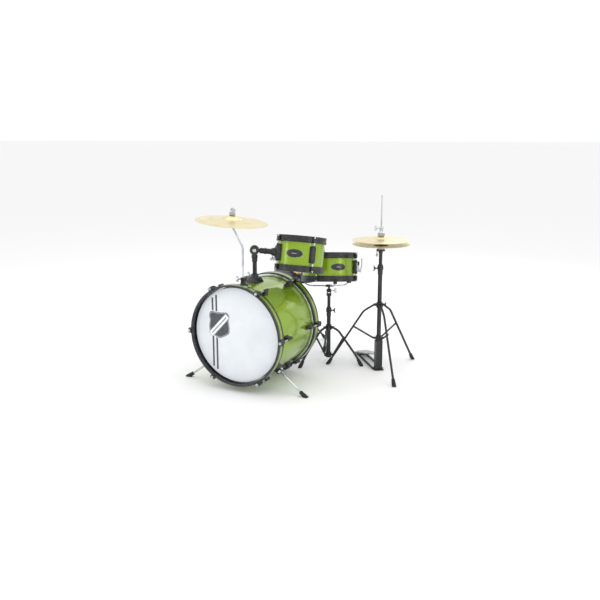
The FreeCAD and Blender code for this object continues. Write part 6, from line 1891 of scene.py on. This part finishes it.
# ================================================================ studio
@dataclass
class Studio:
    """Pale floor, soft lights and the camera."""

    floor_half: float = 150.0
    camera_place: tuple[float, float, float] = (1.4526, -2.8921, 1.0600)
    camera_turn: tuple[float, float, float] = (77.298, 0.0, 27.383)
    lens: float = 43.49

    def build(self) -> None:
        """Builds the floor, the lights, the sky and the camera."""
        self.make_floor()
        self.make_light("overhead_softbox", (0.1, -0.1, 2.9), (0, 0, 0.3), (3.2, 3.2), 22.0)
        self.make_light("left_softbox", (-2.3, -2.4, 1.7), (0, 0, 0.4), (0.8, 2.4), 11.0)
        self.make_light("right_softbox", (2.7, -0.6, 1.6), (0, 0, 0.4), (0.7, 2.4), 10.0)
        self.make_light("back_softbox", (0.4, 2.8, 2.0), (0, 0, 0.5), (2.4, 1.4), 9.0)
        world = bpy.data.worlds.new("white_studio")
        world.use_nodes = True
        world.node_tree.nodes["Background"].inputs["Color"].default_value = (1.0, 1.0, 1.0, 1.0)
        world.node_tree.nodes["Background"].inputs["Strength"].default_value = 1.02
        bpy.context.scene.world = world
        bpy.context.scene.view_settings.view_transform = "Standard"
        self.make_camera()

    def make_floor(self) -> None:
        """Level sheet of paper, wide enough for every view."""
        half = self.floor_half
        mesh = bpy.data.meshes.new("studio_floor")
        mesh.from_pydata([(-half, -half, -0.0005), (half, -half, -0.0005), (half, half, -0.0005),
                          (-half, half, -0.0005)], [], [(0, 1, 2, 3)])
        mesh.materials.append(PAPER.material())
        floor = bpy.data.objects.new("studio_floor", mesh)
        bpy.context.scene.collection.objects.link(floor)

    def make_light(self, name: str, place: Point, target: Point, size: tuple[float, float],
                   watts: float) -> None:
        """Rectangular softbox that faces a point.

        Args:
            name: its name.
            place: where it hangs, in metres.
            target: the point that it faces.
            size: width and height in metres.
            watts: its power.
        """
        lamp = bpy.data.lights.new(name, "AREA")
        lamp.shape = "RECTANGLE"
        lamp.size, lamp.size_y = size
        lamp.energy = watts
        holder = bpy.data.objects.new(name, lamp)
        holder.location = place
        holder.rotation_euler = (Vector(target) - Vector(place)).to_track_quat("-Z", "Y").to_euler()
        bpy.context.scene.collection.objects.link(holder)

    def make_camera(self) -> None:
        lens = bpy.data.cameras.new("camera")
        lens.lens = self.lens
        lens.sensor_width = 36.0
        lens.clip_start, lens.clip_end = 0.05, 400.0
        camera = bpy.data.objects.new("camera", lens)
        camera.location = self.camera_place
        camera.rotation_euler = [math.radians(angle) for angle in self.camera_turn]
        bpy.context.scene.collection.objects.link(camera)
        bpy.context.scene.camera = camera


def small_drums() -> list[SmallDrum]:
    """The tom and the snare.

    Returns:
        Both drums, ready to build.
    """
    snare_lean = turn_round(joint_axis("snare_basket_tilt"), -10.0)
    tom = SmallDrum("tom", "tom", turn_about("X", -11.0), rim_radius=108.0, lug_height=72.0, lug_width=28.0,
                    lug_first=-34.0, badge_azimuth=-78.0, badge_width=75.0, badge_height=35.0,
                    shell_radius=101.6, length=134.0)
    snare = SmallDrum("snare", "snare", snare_lean, rim_radius=134.0, lug_height=62.0, lug_width=26.0,
                      lug_first=0.0, badge_azimuth=-45.0, badge_width=72.0, badge_height=32.0,
                      shell_radius=127.0, length=117.0)
    return [tom, snare]


def main() -> None:
    """Builds the whole kit and its studio."""
    logging.basicConfig(level=logging.INFO, format="%(message)s")
    studio = Studio()
    studio.build()
    dress_node("spur_brackets", ABS)
    assemblies = [BassDrum(), Spur("right"), Spur("left"), TomMount(), *small_drums(), CrashCymbal(),
                  SnareStand(),
                  HiHat(), BassPedal(), Throne()]
    for assembly in assemblies:
        assembly.build()
        LOG.info("built %s", type(assembly).__name__)


if __name__ == "__main__":
    main()
